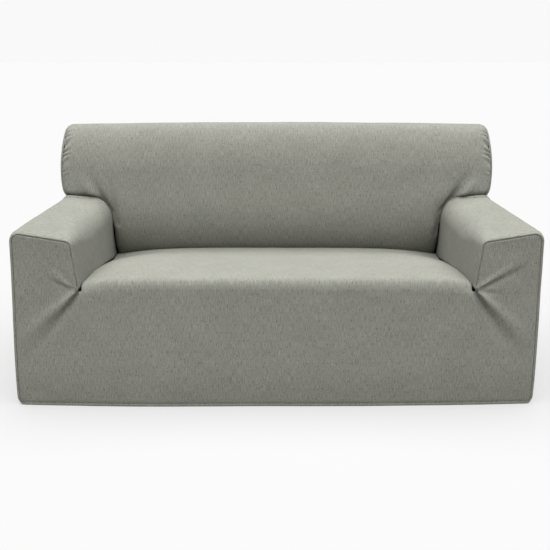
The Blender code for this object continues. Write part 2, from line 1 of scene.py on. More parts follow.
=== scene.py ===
# %% [markdown]
# # A fitted stretch cover for a two-seat sofa
# The real cover is sewn from seven cloths: the seat with the front skirt, the inside back, two arm
# wraps, two side gussets and the outside back. It is worn by a sofa that isn't part of this object,
# so every piece here is a thin hollow sheet. The first cell loads the packed solids as a fixed
# frame and keeps their box, so that it can be printed beside the finished cloth's box at the end.

# %% The frame
import json
import math
from collections import namedtuple

import bmesh
import bpy
import numpy as np
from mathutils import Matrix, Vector, noise

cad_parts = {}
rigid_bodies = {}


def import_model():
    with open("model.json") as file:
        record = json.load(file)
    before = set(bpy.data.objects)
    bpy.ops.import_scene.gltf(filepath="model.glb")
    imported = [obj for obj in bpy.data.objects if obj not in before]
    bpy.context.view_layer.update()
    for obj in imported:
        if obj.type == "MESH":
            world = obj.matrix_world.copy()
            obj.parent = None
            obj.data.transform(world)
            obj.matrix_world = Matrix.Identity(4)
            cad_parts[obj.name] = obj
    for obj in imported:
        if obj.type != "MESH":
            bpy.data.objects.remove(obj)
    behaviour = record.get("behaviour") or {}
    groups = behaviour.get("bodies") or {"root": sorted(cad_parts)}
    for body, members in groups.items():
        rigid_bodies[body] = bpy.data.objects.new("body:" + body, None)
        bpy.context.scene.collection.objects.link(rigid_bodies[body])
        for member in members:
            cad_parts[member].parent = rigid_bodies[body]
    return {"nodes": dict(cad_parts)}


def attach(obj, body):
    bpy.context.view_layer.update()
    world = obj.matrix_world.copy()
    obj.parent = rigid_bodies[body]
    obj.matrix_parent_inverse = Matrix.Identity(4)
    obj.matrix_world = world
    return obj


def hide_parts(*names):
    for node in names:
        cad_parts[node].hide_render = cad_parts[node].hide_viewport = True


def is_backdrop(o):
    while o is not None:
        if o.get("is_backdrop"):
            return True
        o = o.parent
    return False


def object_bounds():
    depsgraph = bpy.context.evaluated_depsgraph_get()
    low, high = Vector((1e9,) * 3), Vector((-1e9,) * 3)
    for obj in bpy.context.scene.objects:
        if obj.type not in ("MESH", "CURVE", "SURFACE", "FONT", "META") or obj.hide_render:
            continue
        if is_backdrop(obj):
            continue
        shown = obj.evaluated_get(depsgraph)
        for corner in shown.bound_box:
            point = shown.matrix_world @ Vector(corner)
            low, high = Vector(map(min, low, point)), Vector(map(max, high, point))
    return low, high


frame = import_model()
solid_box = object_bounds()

bpy.ops.object.select_all(action="DESELECT")
print("nodes in the frame:", len(frame["nodes"]))

# %% [markdown]
# ## Where things are
# All sizes are in metres and are measured from the floor (z), from the front of the arms (y) and
# from the middle of the sofa (x), because that is how a sofa is measured. The solids have their
# origin under the top of the backrest, so each finished point is moved by that place.

# %% The origin and the camera
ORIGIN = np.array((0.0, 0.78354, 0.854))
CAMERA_PLACE = (-0.0055, -2.727, 1.215)
CAMERA_PITCH = 15.68
CAMERA_LENS = 57.6


def in_frame(place):
    """A place measured on the sofa, as a place in the solids' frame."""
    return np.asarray(place, dtype=float) - ORIGIN


camera = bpy.data.objects.new("camera", bpy.data.cameras.new("camera"))
bpy.context.collection.objects.link(camera)
camera.location = in_frame(CAMERA_PLACE)
camera.rotation_euler = (math.radians(90.0 - CAMERA_PITCH), 0.0, 0.0)
camera.data.lens = CAMERA_LENS
camera.data.sensor_width = 36.0
bpy.context.scene.camera = camera
print("camera at", [round(value, 3) for value in camera.location])

# %% [markdown]
# ## Floor and light
# A cover like this is shown in a white studio under one very broad soft light, far above and a
# little in front. Tops are light, upright faces get a third of that and some glow from the floor,
# and the corner under the backrest is the darkest place. A sun lamp with a wide angle is such a
# light, and it is equally strong on the sofa and on the whole floor.

# %% Floor
FLOOR_SIZE = 60.0
FLOOR_GLOW = 0.46
FLOOR_TONE = 0.20
FLOOR_CLEARANCE = 0.0005


def plain_floor():
    below = in_frame((0.0, 0.0, -FLOOR_CLEARANCE))
    bpy.ops.mesh.primitive_plane_add(size=FLOOR_SIZE, location=below)
    floor = bpy.context.object
    floor.name = "floor"
    paint = bpy.data.materials.new("pale_floor")
    paint.use_nodes = True
    nodes = paint.node_tree.nodes
    links = paint.node_tree.links
    shader = nodes["Principled BSDF"]
    shader.inputs["Base Color"].default_value = (FLOOR_TONE, FLOOR_TONE, FLOOR_TONE, 1.0)
    shader.inputs["Roughness"].default_value = 1.0
    shader.inputs["Specular IOR Level"].default_value = 0.0
    shader.inputs["Emission Color"].default_value = (1.0, 1.0, 1.0, 1.0)
    ray = nodes.new("ShaderNodeLightPath")
    glow = nodes.new("ShaderNodeMath")
    glow.operation = "MULTIPLY"
    glow.inputs[1].default_value = FLOOR_GLOW
    links.new(ray.outputs["Is Camera Ray"], glow.inputs[0])
    links.new(glow.outputs[0], shader.inputs["Emission Strength"])
    floor.data.materials.append(paint)
    floor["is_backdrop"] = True


plain_floor()
print("floor:", FLOOR_SIZE, "m square,", 1000.0 * FLOOR_CLEARANCE, "mm under the hem")

# %% Lamp and sky
LAMP_STRENGTH = 7.75
LAMP_ANGLE = 100.0
LAMP_TILT = 9.0
SKY_WHITE = 0.95
SKY_LIGHT = 0.08


def broad_lamp():
    """One soft light from above and a little in front, as wide as a studio's ceiling."""
    lamp = bpy.data.objects.new("overhead", bpy.data.lights.new("overhead", "SUN"))
    bpy.context.collection.objects.link(lamp)
    lamp.data.energy = LAMP_STRENGTH
    lamp.data.angle = math.radians(LAMP_ANGLE)
    lamp.rotation_euler = (math.radians(LAMP_TILT), 0.0, 0.0)
    print(f"lamp: {LAMP_STRENGTH} W/m2 from a cone of {LAMP_ANGLE:.0f} degrees")


def studio_sky():
    """White to look at, and a weak even light from all round."""
    world = bpy.data.worlds.new("studio")
    bpy.context.scene.world = world
    world.use_nodes = True
    nodes = world.node_tree.nodes
    links = world.node_tree.links
    light = nodes["Background"]
    light.inputs["Color"].default_value = (1.0, 1.0, 1.0, 1.0)
    light.inputs["Strength"].default_value = SKY_LIGHT
    seen = nodes.new("ShaderNodeBackground")
    seen.inputs["Color"].default_value = (1.0, 1.0, 1.0, 1.0)
    seen.inputs["Strength"].default_value = SKY_WHITE
    ray = nodes.new("ShaderNodeLightPath")
    either = nodes.new("ShaderNodeMixShader")
    links.new(ray.outputs["Is Camera Ray"], either.inputs[0])
    links.new(light.outputs[0], either.inputs[1])
    links.new(seen.outputs[0], either.inputs[2])
    links.new(either.outputs[0], nodes["World Output"].inputs["Surface"])


broad_lamp()
studio_sky()
bpy.context.scene.view_settings.view_transform = "Standard"

# %% [markdown]
# ## The fabric
# All seven cloths are cut from one heathered stretch fabric: pale and dark yarns twisted together,
# so the surface is a warm grey green full of short streaks along the grain, with a few dark flecks.
# Every cloth has a UV map in metres, U across the grain and V along it. Noise that is squeezed
# across and long along the grain gives the streaks, and two sine waves give the plain weave. The
# numbers that are the same all over are set on the shader itself.

# %% Yarn colours and sizes
DARK_YARN = (0.1085, 0.109, 0.086)
LIGHT_YARN = (0.331, 0.3345, 0.301)
DARK_FLECK = (0.055, 0.056, 0.045)

Grain = namedtuple("Grain", "across along detail shift low high weight")
YARN = Grain(0.0013, 0.0028, 2.0, 0.0, 0.25, 0.75, 0.52)
SLUB = Grain(0.0014, 0.030, 3.0, 7.3, 0.28, 0.72, 0.34)
PATCH = Grain(0.11, 0.11, 2.0, 3.1, 0.30, 0.70, 0.05)
FLECK = Grain(0.0024, 0.013, 1.0, 19.7, 0.655, 0.74, 0.62)
print("yarn streaks are", YARN.along, "m long, slubs", SLUB.along, "m")

# %% [markdown]
# ## Short ways to add shader nodes
# A pattern of this kind takes some thirty nodes that do the same few things: make noise of a given
# grain, stretch its range, and multiply, add or mix. One small class keeps each of them to one line.

# %% Shader nodes in short
RANGE_INPUTS = slice(1, 5)
COLOUR_INPUTS = slice(6, 8)
COLOUR_OUTPUT = 2


class Nodes:
    """Short ways to add and join shader nodes in one material."""

    def __init__(self, name):
        self.material = bpy.data.materials.new(name)
        self.material.use_nodes = True
        self.tree = self.material.node_tree
        self.shader = self.tree.nodes["Principled BSDF"]
        self.uv = self.tree.nodes.new("ShaderNodeUVMap")
        self.uv.uv_map = "cloth"

    def link(self, source, target):
        self.tree.links.new(source, target)

    def math(self, operation, first, second=0.0):
        node = self.tree.nodes.new("ShaderNodeMath")
        node.operation = operation
        for socket, value in zip(node.inputs, (first, second)):
            if isinstance(value, (int, float)):
                socket.default_value = value
            else:
                self.link(value, socket)
        return node.outputs[0]

    def streaks(self, grain):
        """Noise whose grains are as wide and as long as a yarn, in metres."""
        place = self.tree.nodes.new("ShaderNodeMapping")
        place.inputs["Location"].default_value = (grain.shift, grain.shift, 0.0)
        place.inputs["Scale"].default_value = (1.0 / grain.across, 1.0 / grain.along, 1.0)
        self.link(self.uv.outputs[0], place.inputs["Vector"])
        texture = self.tree.nodes.new("ShaderNodeTexNoise")
        texture.noise_dimensions = "2D"
        texture.inputs["Scale"].default_value = 1.0
        texture.inputs["Detail"].default_value = grain.detail
        self.link(place.outputs[0], texture.inputs["Vector"])
        return texture.outputs[0]

    def between(self, value, low, high, out_high=1.0):
        """The value stretched from its range to one from 0, and held inside it."""
        node = self.tree.nodes.new("ShaderNodeMapRange")
        node.interpolation_type = "SMOOTHSTEP"
        for socket, number in zip(node.inputs[RANGE_INPUTS], (low, high, 0.0, out_high)):
            socket.default_value = number
        self.link(value, node.inputs[0])
        return node.outputs[0]

    def weighted(self, value, grain):
        """The share of the colour that one grain gives."""
        return self.math("MULTIPLY", self.between(value, grain.low, grain.high), grain.weight)

    def mix(self, share, first, second):
        node = self.tree.nodes.new("ShaderNodeMix")
        node.data_type = "RGBA"
        self.link(share, node.inputs[0])
        for socket, value in zip(node.inputs[COLOUR_INPUTS], (first, second)):
            if isinstance(value, tuple):
                socket.default_value = (*value, 1.0)
            else:
                self.link(value, socket)
        return node.outputs[COLOUR_OUTPUT]


print("ways to add nodes:", [name for name in vars(Nodes) if not name.startswith("_")])

# %% [markdown]
# ## The weave in relief
# A painted pattern would look printed. The same yarns therefore also lift the surface a little: the
# bump comes from the plain weave, from the yarn streaks and from the thicker slubs, and it is only a
# fraction of a millimetre high. The cloth is matt, with a trace of sheen from loose fibres.

# %% The heathered fabric
WEAVE_ACROSS = 0.0012
WEAVE_ALONG = 0.0010
WEAVE_RELIEF = 0.35
YARN_RELIEF = 0.8
SLUB_RELIEF = 1.3
BUMP_STRENGTH = 0.45
BUMP_HEIGHT = 0.0006
FINISH = {
    "Roughness": 0.93,
    "Specular IOR Level": 0.12,
    "Sheen Weight": 0.045,
    "Sheen Roughness": 0.55,
    "Sheen Tint": (1.0, 1.0, 1.0, 1.0),
}


def plain_weave(made):
    """Two waves that cross: the warp over the weft."""
    parts = made.tree.nodes.new("ShaderNodeSeparateXYZ")
    made.link(made.uv.outputs[0], parts.inputs[0])
    waves = []
    for part, size in zip(parts.outputs, (WEAVE_ACROSS, WEAVE_ALONG)):
        waves.append(made.math("SINE", made.math("MULTIPLY", part, 2.0 * math.pi / size)))
    return made.math("MULTIPLY", *waves)


def heather_fabric():
    made = Nodes("heather_fabric")
    yarn, slub, patch, fleck = [made.streaks(grain) for grain in (YARN, SLUB, PATCH, FLECK)]
    tone = made.weighted(yarn, YARN)
    tone = made.math("ADD", tone, made.weighted(slub, SLUB))
    tone = made.math("ADD", tone, made.weighted(patch, PATCH))
    colour = made.mix(tone, DARK_YARN, LIGHT_YARN)
    flecks = made.between(fleck, FLECK.low, FLECK.high, FLECK.weight)
    colour = made.mix(flecks, colour, DARK_FLECK)
    made.link(colour, made.shader.inputs["Base Color"])

    height = made.math("MULTIPLY", plain_weave(made), WEAVE_RELIEF)
    height = made.math("ADD", height, made.math("MULTIPLY", yarn, YARN_RELIEF))
    height = made.math("ADD", height, made.math("MULTIPLY", slub, SLUB_RELIEF))
    bump = made.tree.nodes.new("ShaderNodeBump")
    bump.inputs["Strength"].default_value = BUMP_STRENGTH
    bump.inputs["Distance"].default_value = BUMP_HEIGHT
    made.link(height, bump.inputs["Height"])
    made.link(bump.outputs[0], made.shader.inputs["Normal"])
    for socket, value in FINISH.items():
        made.shader.inputs[socket].default_value = value
    return made.material


FABRIC = heather_fabric()
print("fabric nodes:", len(FABRIC.node_tree.nodes))

# %% [markdown]
# ## Measuring helpers
# A padded sofa has hardly a straight line, but it needs few sizes. A short table gives a size at a
# few places, and everything between is read on one smooth curve through them.

# %% Tables and curves
Level = namedtuple("Level", "at value")


def lerp(start, end, share):
    return start + (end - start) * share


def ease(share):
    """Smooth step from 0 to 1."""
    share = min(max(share, 0.0), 1.0)
    return share * share * (3.0 - 2.0 * share)


def read(levels, at):
    """Value of a short table at a place: one smooth curve through its rows."""
    places = [level.at for level in levels]
    values = [level.value for level in levels]
    at = min(max(at, places[0]), places[-1])
    slopes = []
    for index in range(len(levels)):
        low = max(index - 1, 0)
        high = min(index + 1, len(levels) - 1)
        slopes.append((values[high] - values[low]) / (places[high] - places[low]))
    index = next(i for i in range(len(levels) - 1) if at <= places[i + 1])
    span = places[index + 1] - places[index]
    t = (at - places[index]) / span
    rest = (1.0 - t) ** 2
    start = values[index] * (1.0 + 2.0 * t) * rest + slopes[index] * span * t * rest
    end = values[index + 1] * t * t * (3.0 - 2.0 * t) + slopes[index + 1] * span * t * t * (t - 1.0)
    return start + end


def bell(distance, width):
    """1 at a place, and soon nothing beside it."""
    return math.exp(-((distance / width) ** 2))


def bells(distances, width):
    """The same for a whole grid of distances."""
    return np.exp(-((distances / width) ** 2))


print("at half its width a bell still has", round(bell(0.5, 1.0), 3), "of its height")

# %% [markdown]
# ## Creases
# Where stretch cloth is pulled at one point, it sinks into a crease that runs away from the point,
# gets wider and fades, and the cloth that is pushed aside stands up in a soft ridge. So a crease is
# a line on a face with a depth, a width at each end and a ridge on one side of it.

# %% Creases
Fold = namedtuple("Fold", "x z end_x end_z depth width end_width ridge")
RIDGE_PLACE = 1.9
RIDGE_WIDTH = 1.2
FOLD_REACH = 6.0


def fold_depth(folds, x, z):
    """How far a set of creases pulls the cloth in at a place on a face; ridges are negative."""
    total = 0.0
    for fold in folds:
        along_x = fold.end_x - fold.x
        along_z = fold.end_z - fold.z
        length = math.hypot(along_x, along_z)
        share = ((x - fold.x) * along_x + (z - fold.z) * along_z) / length ** 2
        across = (along_x * (z - fold.z) - along_z * (x - fold.x)) / length
        width = lerp(fold.width, fold.end_width, min(max(share, 0.0), 1.0))
        fade = ease(1.0 - share) * ease(1.0 + share * length / (2.0 * width))
        if fade == 0.0 or abs(across) > FOLD_REACH * width:
            continue
        beside = across - math.copysign(RIDGE_PLACE * width, fold.ridge)
        ridge = abs(fold.ridge) * bell(beside, RIDGE_WIDTH * width)
        total += fold.depth * fade * (bell(across, width) - ridge)
    return total


trial_fold = Fold(0.0, 0.0, 0.10, 0.0, 0.008, 0.004, 0.007, 1.0)
print("a crease 8 mm deep sinks the cloth by", round(fold_depth([trial_fold], 0.0, 0.0), 4), "m")

# %% [markdown]
# ## Paths
# A cloth follows the section of the sofa: straight runs with round corners. The points on such a
# path are spread evenly and stand closer together beside a seam, where the cloth turns in sharply.

# %% Paths
def corner_arc(corner, before, after, radius, steps):
    """Points round a corner of a path, from its first tangent point to its second."""
    corner = Vector(corner)
    arriving = (corner - Vector(before)).normalized()
    leaving = (Vector(after) - corner).normalized()
    turn = arriving.angle(leaving)
    reach = radius * math.tan(turn / 2.0)
    centre = corner + (leaving - arriving).normalized() * (radius / math.cos(turn / 2.0))
    first = corner - arriving * reach - centre
    last = corner + leaving * reach - centre
    points = []
    for step in range(steps + 1):
        share = step / steps
        start = math.sin((1.0 - share) * turn) / math.sin(turn)
        points.append(centre + first * start + last * (math.sin(share * turn) / math.sin(turn)))
    return points


def resample(path, places):
    """Points at given distances along a path of flat points."""
    path = np.asarray([tuple(point) for point in path])
    run = section_run(path)
    places = np.asarray(places) * run[-1]
    return np.stack([np.interp(places, run, values) for values in path.T], axis=1)


SEAM_STEPS = (0.0, 0.0008, 0.0018, 0.003, 0.0045, 0.0065, 0.009)
HEM_STEPS = (0.0, 0.002, 0.005, 0.0075, 0.009, 0.0105, 0.013)


def spaced(length, step, start=True, end=True, steps=SEAM_STEPS):
    """Shares of a length, a step apart and closer together beside a seam at either end."""
    low = list(steps) if start else [0.0]
    high = [length - place for place in reversed(steps)] if end else [length]
    count = max(round((high[0] - low[-1]) / step), 1)
    middle = [lerp(low[-1], high[0], index / count) for index in range(1, count)]
    return np.array(low + middle + high) / length


def section_run(section):
    """Distance of every point of a path from its start."""
    steps = np.linalg.norm(np.diff(section, axis=0), axis=1)
    return np.concatenate(([0.0], np.cumsum(steps)))


print("points on 10 cm between two seams:", len(spaced(0.10, 0.0055)))

# %% [markdown]
# ## The form of the sofa under the cover
# A stretch cover takes the form of what it is pulled over, so the cloth is laid on the faces of the
# sofa: arms that narrow towards the rear, a crowned seat with a rolled front, a leaning backrest
# with a thick round top. Each face is a function of a few sizes, and the cloths share them, which is
# why their edges meet.

# %% The cloth and its gaps
CLOTH = 0.0018
SEAM_GAP = 0.0003
BUTT_GAP = 0.0007
TUCK = 0.005
WRAP_TUCK = 0.009
print(f"cloth {1000.0 * CLOTH} mm thick, seams {1000.0 * SEAM_GAP} mm apart")

# %% [markdown]
# ## The arms
# An arm is a box with round edges. It narrows towards the rear and flares a little to the hem, most
# of all in front. Its inner top edge is tight in front and wide where it meets the backrest. The
# last 25 mm above the floor turn in, as a hem with elastic does.

# %% Sizes of the arms
ARM_TOP_OUTER = 0.600
ARM_TOP_INNER = 0.569
ARM_TOP_REAR = 0.588
ARM_TOP_REAR_INNER = 0.568
ARM_INNER_FRONT = 0.637
ARM_INNER_REAR = 0.645
ARM_OUTER_FRONT = 0.859
ARM_OUTER_REAR = 0.8425
ARM_FRONT_ROLL = 0.011
ARM_ROLL_DEPTH = 0.034
SEAM_STRIP = 0.003
ARM_OUTER_RADIUS = 0.037
ARM_INNER_RADIUS_FRONT = 0.032
ARM_INNER_RADIUS_REAR = 0.078
ARM_RADIUS_GROWS_TO = 0.28
ARM_INNER_LEAN = 0.012
FOOT_INSET_SHARE = 0.4
HEM_TUCK = 0.012
HEM_TUCK_HEIGHT = 0.025
HEM_FLARE = {-1: 0.013, 1: 0.006}
HEM_FLARE_FADE = 0.6
BACK_FACE_LOW = 0.617
BACK_REAR = 0.872
print("arms", round(ARM_OUTER_FRONT - ARM_INNER_FRONT, 3), "m wide at the front")


# %% Inner and outer side of an arm
def arm_inner(y):
    return lerp(ARM_INNER_FRONT, ARM_INNER_REAR, y / BACK_FACE_LOW)


def arm_outer(y, z, side):
    """Outer side: it narrows towards the rear, flares to the hem and tucks in at the very edge."""
    half = lerp(ARM_OUTER_FRONT, ARM_OUTER_REAR, min(y / BACK_FACE_LOW, 1.0))
    front_share = 1.0 - HEM_FLARE_FADE * min(y / BACK_REAR, 1.0)
    flare = HEM_FLARE[side] * ease(1.0 - z / ARM_TOP_REAR) * front_share
    tuck = HEM_TUCK * max(1.0 - z / HEM_TUCK_HEIGHT, 0.0) ** 2 * front_share
    return half + flare - tuck


print("between the arms at the rear:", 2.0 * arm_inner(BACK_FACE_LOW), "m")

# %% [markdown]
# ## The form of the seat
# The seat cushion is crowned: it falls to the back, and close to the arms it drops away quickly. A
# high power of the distance from the middle keeps it flat in between and steep at its edges. Its
# front rolls over on to the skirt.

# %% The seat's height and front roll
SEAT_ROLL = 0.026
SEAT_ROLL_HEIGHT = 0.045
SEAT_EDGE_POWER_FRONT = 14
SEAT_EDGE_POWER_REAR = 5
SEAT_MIDDLE = [
    Level(0.0, 0.437),
    Level(0.10, 0.4345),
    Level(0.25, 0.426),
    Level(0.45, 0.4005),
    Level(0.62, 0.3725),
]
SEAT_DROP = [Level(0.0, 0.024), Level(0.25, 0.032), Level(0.62, 0.036)]


def seat_height(x, y):
    """Top of the seat: crowned, lower beside the arms and towards the back."""
    power = lerp(SEAT_EDGE_POWER_FRONT, SEAT_EDGE_POWER_REAR, min(y / BACK_FACE_LOW, 1.0))
    edge = (abs(x) / ARM_INNER_REAR) ** power
    return read(SEAT_MIDDLE, y) - read(SEAT_DROP, y) * edge


def roll_recess(x, z):
    """How far the front roll of the seat lies behind the skirt at a height."""
    rise = z - (seat_height(x, SEAT_ROLL) - SEAT_ROLL_HEIGHT)
    if rise <= 0.0:
        return 0.0
    return SEAT_ROLL * (1.0 - math.sqrt(max(1.0 - (rise / SEAT_ROLL_HEIGHT) ** 2, 0.0)))


print("seat height in front", round(seat_height(0.0, 0.0), 3), "m")

# %% [markdown]
# ## The backrest and its groove
# The padding leans back, and at its foot it is drawn in towards the seat. Where it meets an arm the
# cloth is pushed into a narrow groove, which is the dark line round the arm's end. Near the arm the
# depth of the groove depends on the distance from the arm's round inner edge alone. The width of the
# backrest is a table, because its lower corners are rounded and its middle bulges a little.

# %% The backrest
BACK_FACE_LEAN = 0.16
BACK_FACE_FOOT = 0.36
BACK_TUCK = 0.078
BACK_TUCK_TOP = 0.62
BACK_TUCK_HEIGHT = 0.26
BESIDE_ARM = 0.016
BESIDE_ARM_REACH = 0.055
BESIDE_ARM_END = 0.70
BESIDE_ARM_FADE = 0.10
GROOVE = 0.014
GROOVE_REACH = 0.024
BACK_HALF = [
    Level(0.583, 0.8246),
    Level(0.600, 0.8345),
    Level(0.62, 0.8395),
    Level(0.65, 0.8425),
    Level(0.70, 0.843),
    Level(0.76, 0.8395),
    Level(0.85, 0.832),
]


def back_face(z):
    """Front face of the backrest: it leans back, and its padding is drawn in towards the seat."""
    tuck = BACK_TUCK * max((BACK_TUCK_TOP - z) / BACK_TUCK_HEIGHT, 0.0) ** 3
    return BACK_FACE_LOW + BACK_FACE_LEAN * (z - BACK_FACE_FOOT) + tuck


def back_half(z):
    """Half the width of the backrest at a height."""
    return read(BACK_HALF, z)


def from_arm(x, z):
    """Distance of a place on the inside back from the arm's inner face and top."""
    radius = ARM_INNER_RADIUS_REAR
    inward = ARM_INNER_REAR + radius - abs(x)
    outward = (abs(x) - ARM_INNER_REAR) / (ARM_OUTER_REAR - ARM_INNER_REAR)
    arm_top = lerp(ARM_TOP_REAR_INNER, ARM_TOP_REAR, min(max(outward, 0.0), 1.0))
    upward = z - (arm_top - radius)
    return max(math.hypot(max(inward, 0.0), max(upward, 0.0)) - radius, 0.0)


def beside_arm(x, z):
    """How far the inside back is drawn in where it meets the arm."""
    distance = from_arm(x, z)
    near = 1.0 - min(distance / BESIDE_ARM_REACH, 1.0)
    hollow = BESIDE_ARM * near ** 2 * ease(1.0 - (abs(x) - BESIDE_ARM_END) / BESIDE_ARM_FADE)
    return hollow + GROOVE * max(1.0 - distance / GROOVE_REACH, 0.0) ** 2


def join_depth(x, z):
    """Depth of the edges that meet the inside back; it is even down the arm's outer side."""
    if abs(x) > ARM_INNER_REAR + ARM_INNER_RADIUS_REAR:
        z = max(z, ARM_TOP_REAR_INNER)
    return back_face(z) + beside_arm(x, z) - BUTT_GAP


print("backrest", 2.0 * back_half(0.70), "m wide, leaning back from", round(back_face(0.60), 3), "m")

# %% [markdown]
# ## The skirt and the arm fronts
# The front bulges like a curtain that is held at its top and tucked under at its foot, and each side
# flares a little differently, as worn covers do. Long creases fan out from the two slits where the
# seat meets the arms, because the whole pull of the seat ends there.

# %% Creases from the slits
SLIT_HEIGHT = 0.393
SLIT_X = 0.643
SLIT_CLEARANCE = 0.010
ARM_FRONT_FOLDS = {
    -1: [
        Fold(0.6475, 0.388, 0.720, 0.285, 0.0075, 0.0036, 0.0070, 0.50),
        Fold(0.6475, 0.381, 0.848, 0.113, 0.0082, 0.0075, 0.038, 1.00),
        Fold(0.650, 0.396, 0.770, 0.450, 0.0035, 0.0045, 0.014, 1.00),
        Fold(0.650, 0.398, 0.730, 0.500, 0.0025, 0.0045, 0.012, -0.80),
    ],
    1: [
        Fold(0.6475, 0.388, 0.716, 0.290, 0.0080, 0.0036, 0.0070, 0.50),
        Fold(0.6475, 0.381, 0.830, 0.115, 0.0092, 0.0075, 0.036, 1.00),
        Fold(0.650, 0.396, 0.850, 0.502, 0.0055, 0.0050, 0.016, 1.10),
        Fold(0.655, 0.396, 0.760, 0.380, 0.0030, 0.0040, 0.012, 0.80),
    ],
}
print("creases on the arm fronts:", sum(len(folds) for folds in ARM_FRONT_FOLDS.values()))

# %% The front face
SKIRT_BULGE = 0.024
SKIRT_FLARE = {-1: 0.011, 1: 0.002}
SKIRT_FLARE_WIDTH = 0.6
SKIRT_TUCK = 0.006
SKIRT_TUCK_HEIGHT = 0.15
ROLL_FADE_ACROSS = 0.022
ROLL_FADE_UP = 0.03


def front_face(x, z):
    """Depth of the skirt and the arm fronts."""
    width_share = 1.0 - (x / ARM_OUTER_FRONT) ** 2
    side = -1 if x < 0.0 else 1
    reach = abs(x)
    flare = SKIRT_FLARE[side] * ease(reach / SKIRT_FLARE_WIDTH)
    bulge = -(SKIRT_BULGE * width_share + flare) * ease(1.0 - z / ARM_TOP_OUTER)
    bulge += SKIRT_TUCK * max(1.0 - z / SKIRT_TUCK_HEIGHT, 0.0) ** 2
    recess = roll_recess(min(reach, SLIT_X), min(z, SLIT_HEIGHT))
    if reach > SLIT_X:
        recess *= bell(reach - SLIT_X, ROLL_FADE_ACROSS)
        recess *= bell(max(z - SLIT_HEIGHT, 0.0), ROLL_FADE_UP)
    return bulge + recess + fold_depth(ARM_FRONT_FOLDS[side], reach, z)


print("the skirt's middle stands", round(-front_face(0.0, 0.2), 4), "m before the arm fronts' top")

# %% [markdown]
# ## Section of an arm
# The arm wrap is a row of sections, one behind the other. Each section has four runs, and every run
# is cut into the same shares at every depth, so the columns of the grid follow the arm as it turns
# from a tight corner in front to a wide round one at the backrest.

# %% Section of an arm
ARC_STEPS = 16
SIDE_POINTS = 12
SKIRT_POINTS = 60


def arm_runs(y, side, inset=0.0):
    """Four runs round the arm in x and z: inner face, top, outer side, and outer side to the hem."""
    rear_share = ease(y / BACK_FACE_LOW)
    outer_top = lerp(ARM_TOP_OUTER, ARM_TOP_REAR, rear_share) - inset
    inner_top = lerp(ARM_TOP_INNER, ARM_TOP_REAR_INNER, rear_share) - inset
    growth = ease(y / ARM_RADIUS_GROWS_TO)
    inner_radius = lerp(ARM_INNER_RADIUS_FRONT, ARM_INNER_RADIUS_REAR, growth) - inset
    outer = arm_outer(y, ARM_TOP_REAR, side) - inset
    foot = seat_height(arm_inner(y), y) - WRAP_TUCK
    if y < ARM_ROLL_DEPTH:
        foot = SLIT_HEIGHT + SLIT_CLEARANCE
    low_inner = (arm_inner(y) + FOOT_INSET_SHARE * inset, foot)
    top_inner = (arm_inner(y) + inset + ARM_INNER_LEAN * (1.0 - rear_share), inner_top)
    top_outer = (outer, outer_top)
    outer_radius = ARM_OUTER_RADIUS - inset
    inner_arc = corner_arc(top_inner, low_inner, top_outer, inner_radius, ARC_STEPS)
    outer_arc = corner_arc(top_outer, top_inner, (outer, 0.0), outer_radius, ARC_STEPS)
    middle = ARC_STEPS // 2
    side_heights = np.linspace(outer_arc[-1].y, SLIT_HEIGHT, SIDE_POINTS)
    skirt_heights = np.linspace(SLIT_HEIGHT, 0.0, SKIRT_POINTS)
    return (
        [Vector(low_inner)] + inner_arc[: middle + 1],
        inner_arc[middle:] + outer_arc[: middle + 1],
        outer_arc[middle:-1] + [Vector((arm_outer(y, z, side) - inset, z)) for z in side_heights],
        [Vector((arm_outer(y, z, side) - inset, z)) for z in skirt_heights],
    )


INNER_SHARES = spaced(0.16, 0.0055, False, False)
TOP_SHARES = spaced(0.20, 0.0045, False, False)
OUTER_SHARES = spaced(0.19, 0.0055, False, False)
SKIRT_SHARES = spaced(0.393, 0.0055, False, True, HEM_STEPS)
RUN_SHARES = (INNER_SHARES, TOP_SHARES, OUTER_SHARES, SKIRT_SHARES)
INNER_COLUMNS = len(INNER_SHARES)
OUTER_CORNER = INNER_COLUMNS + len(TOP_SHARES) - 2
SIDE_SEAM = OUTER_CORNER - 2
ARM_FOLLOWED_FROM = INNER_COLUMNS - 12


def arm_section(y, side, inset=0.0):
    """Points round the arm at one depth, x and z, in the columns that all its rows share."""
    rows = [resample(run, shares) for run, shares in zip(arm_runs(y, side, inset), RUN_SHARES)]
    return np.concatenate([rows[0]] + [row[1:] for row in rows[1:]])


print("points round an arm:", len(arm_section(0.0, 1)))


# %% Edges of a grid
TINY = 1e-9


def toward(points, edge, distance):
    """Move one edge of a grid towards its neighbours: half a seam gap."""
    here, beside = {
        "left": (np.s_[0, :], np.s_[1, :]),
        "right": (np.s_[-1, :], np.s_[-2, :]),
        "low": (np.s_[:, 0], np.s_[:, 1]),
        "high": (np.s_[:, -1], np.s_[:, -2]),
    }[edge]
    way = points[beside] - points[here]
    length = np.maximum(np.linalg.norm(way, axis=1, keepdims=True), TINY)
    points[here] += way / length * distance


def run_from(points, edge):
    """Distance of every point of a grid from one of its edges, along the cloth."""
    turned = {
        "left": points,
        "right": points[::-1],
        "low": points.swapaxes(0, 1),
        "high": points[:, ::-1].swapaxes(0, 1),
    }[edge]
    steps = np.linalg.norm(np.diff(turned, axis=0), axis=2)
    run = np.concatenate((np.zeros((1, steps.shape[1])), np.cumsum(steps, axis=0)))
    return {"left": run, "right": run[::-1], "low": run.T, "high": run.T[:, ::-1]}[edge]


trial_grid = np.array([[(float(x), 0.0, float(z)) for z in range(3)] for x in range(4)])
print("a trial grid is", run_from(trial_grid, "left").max(), "wide")

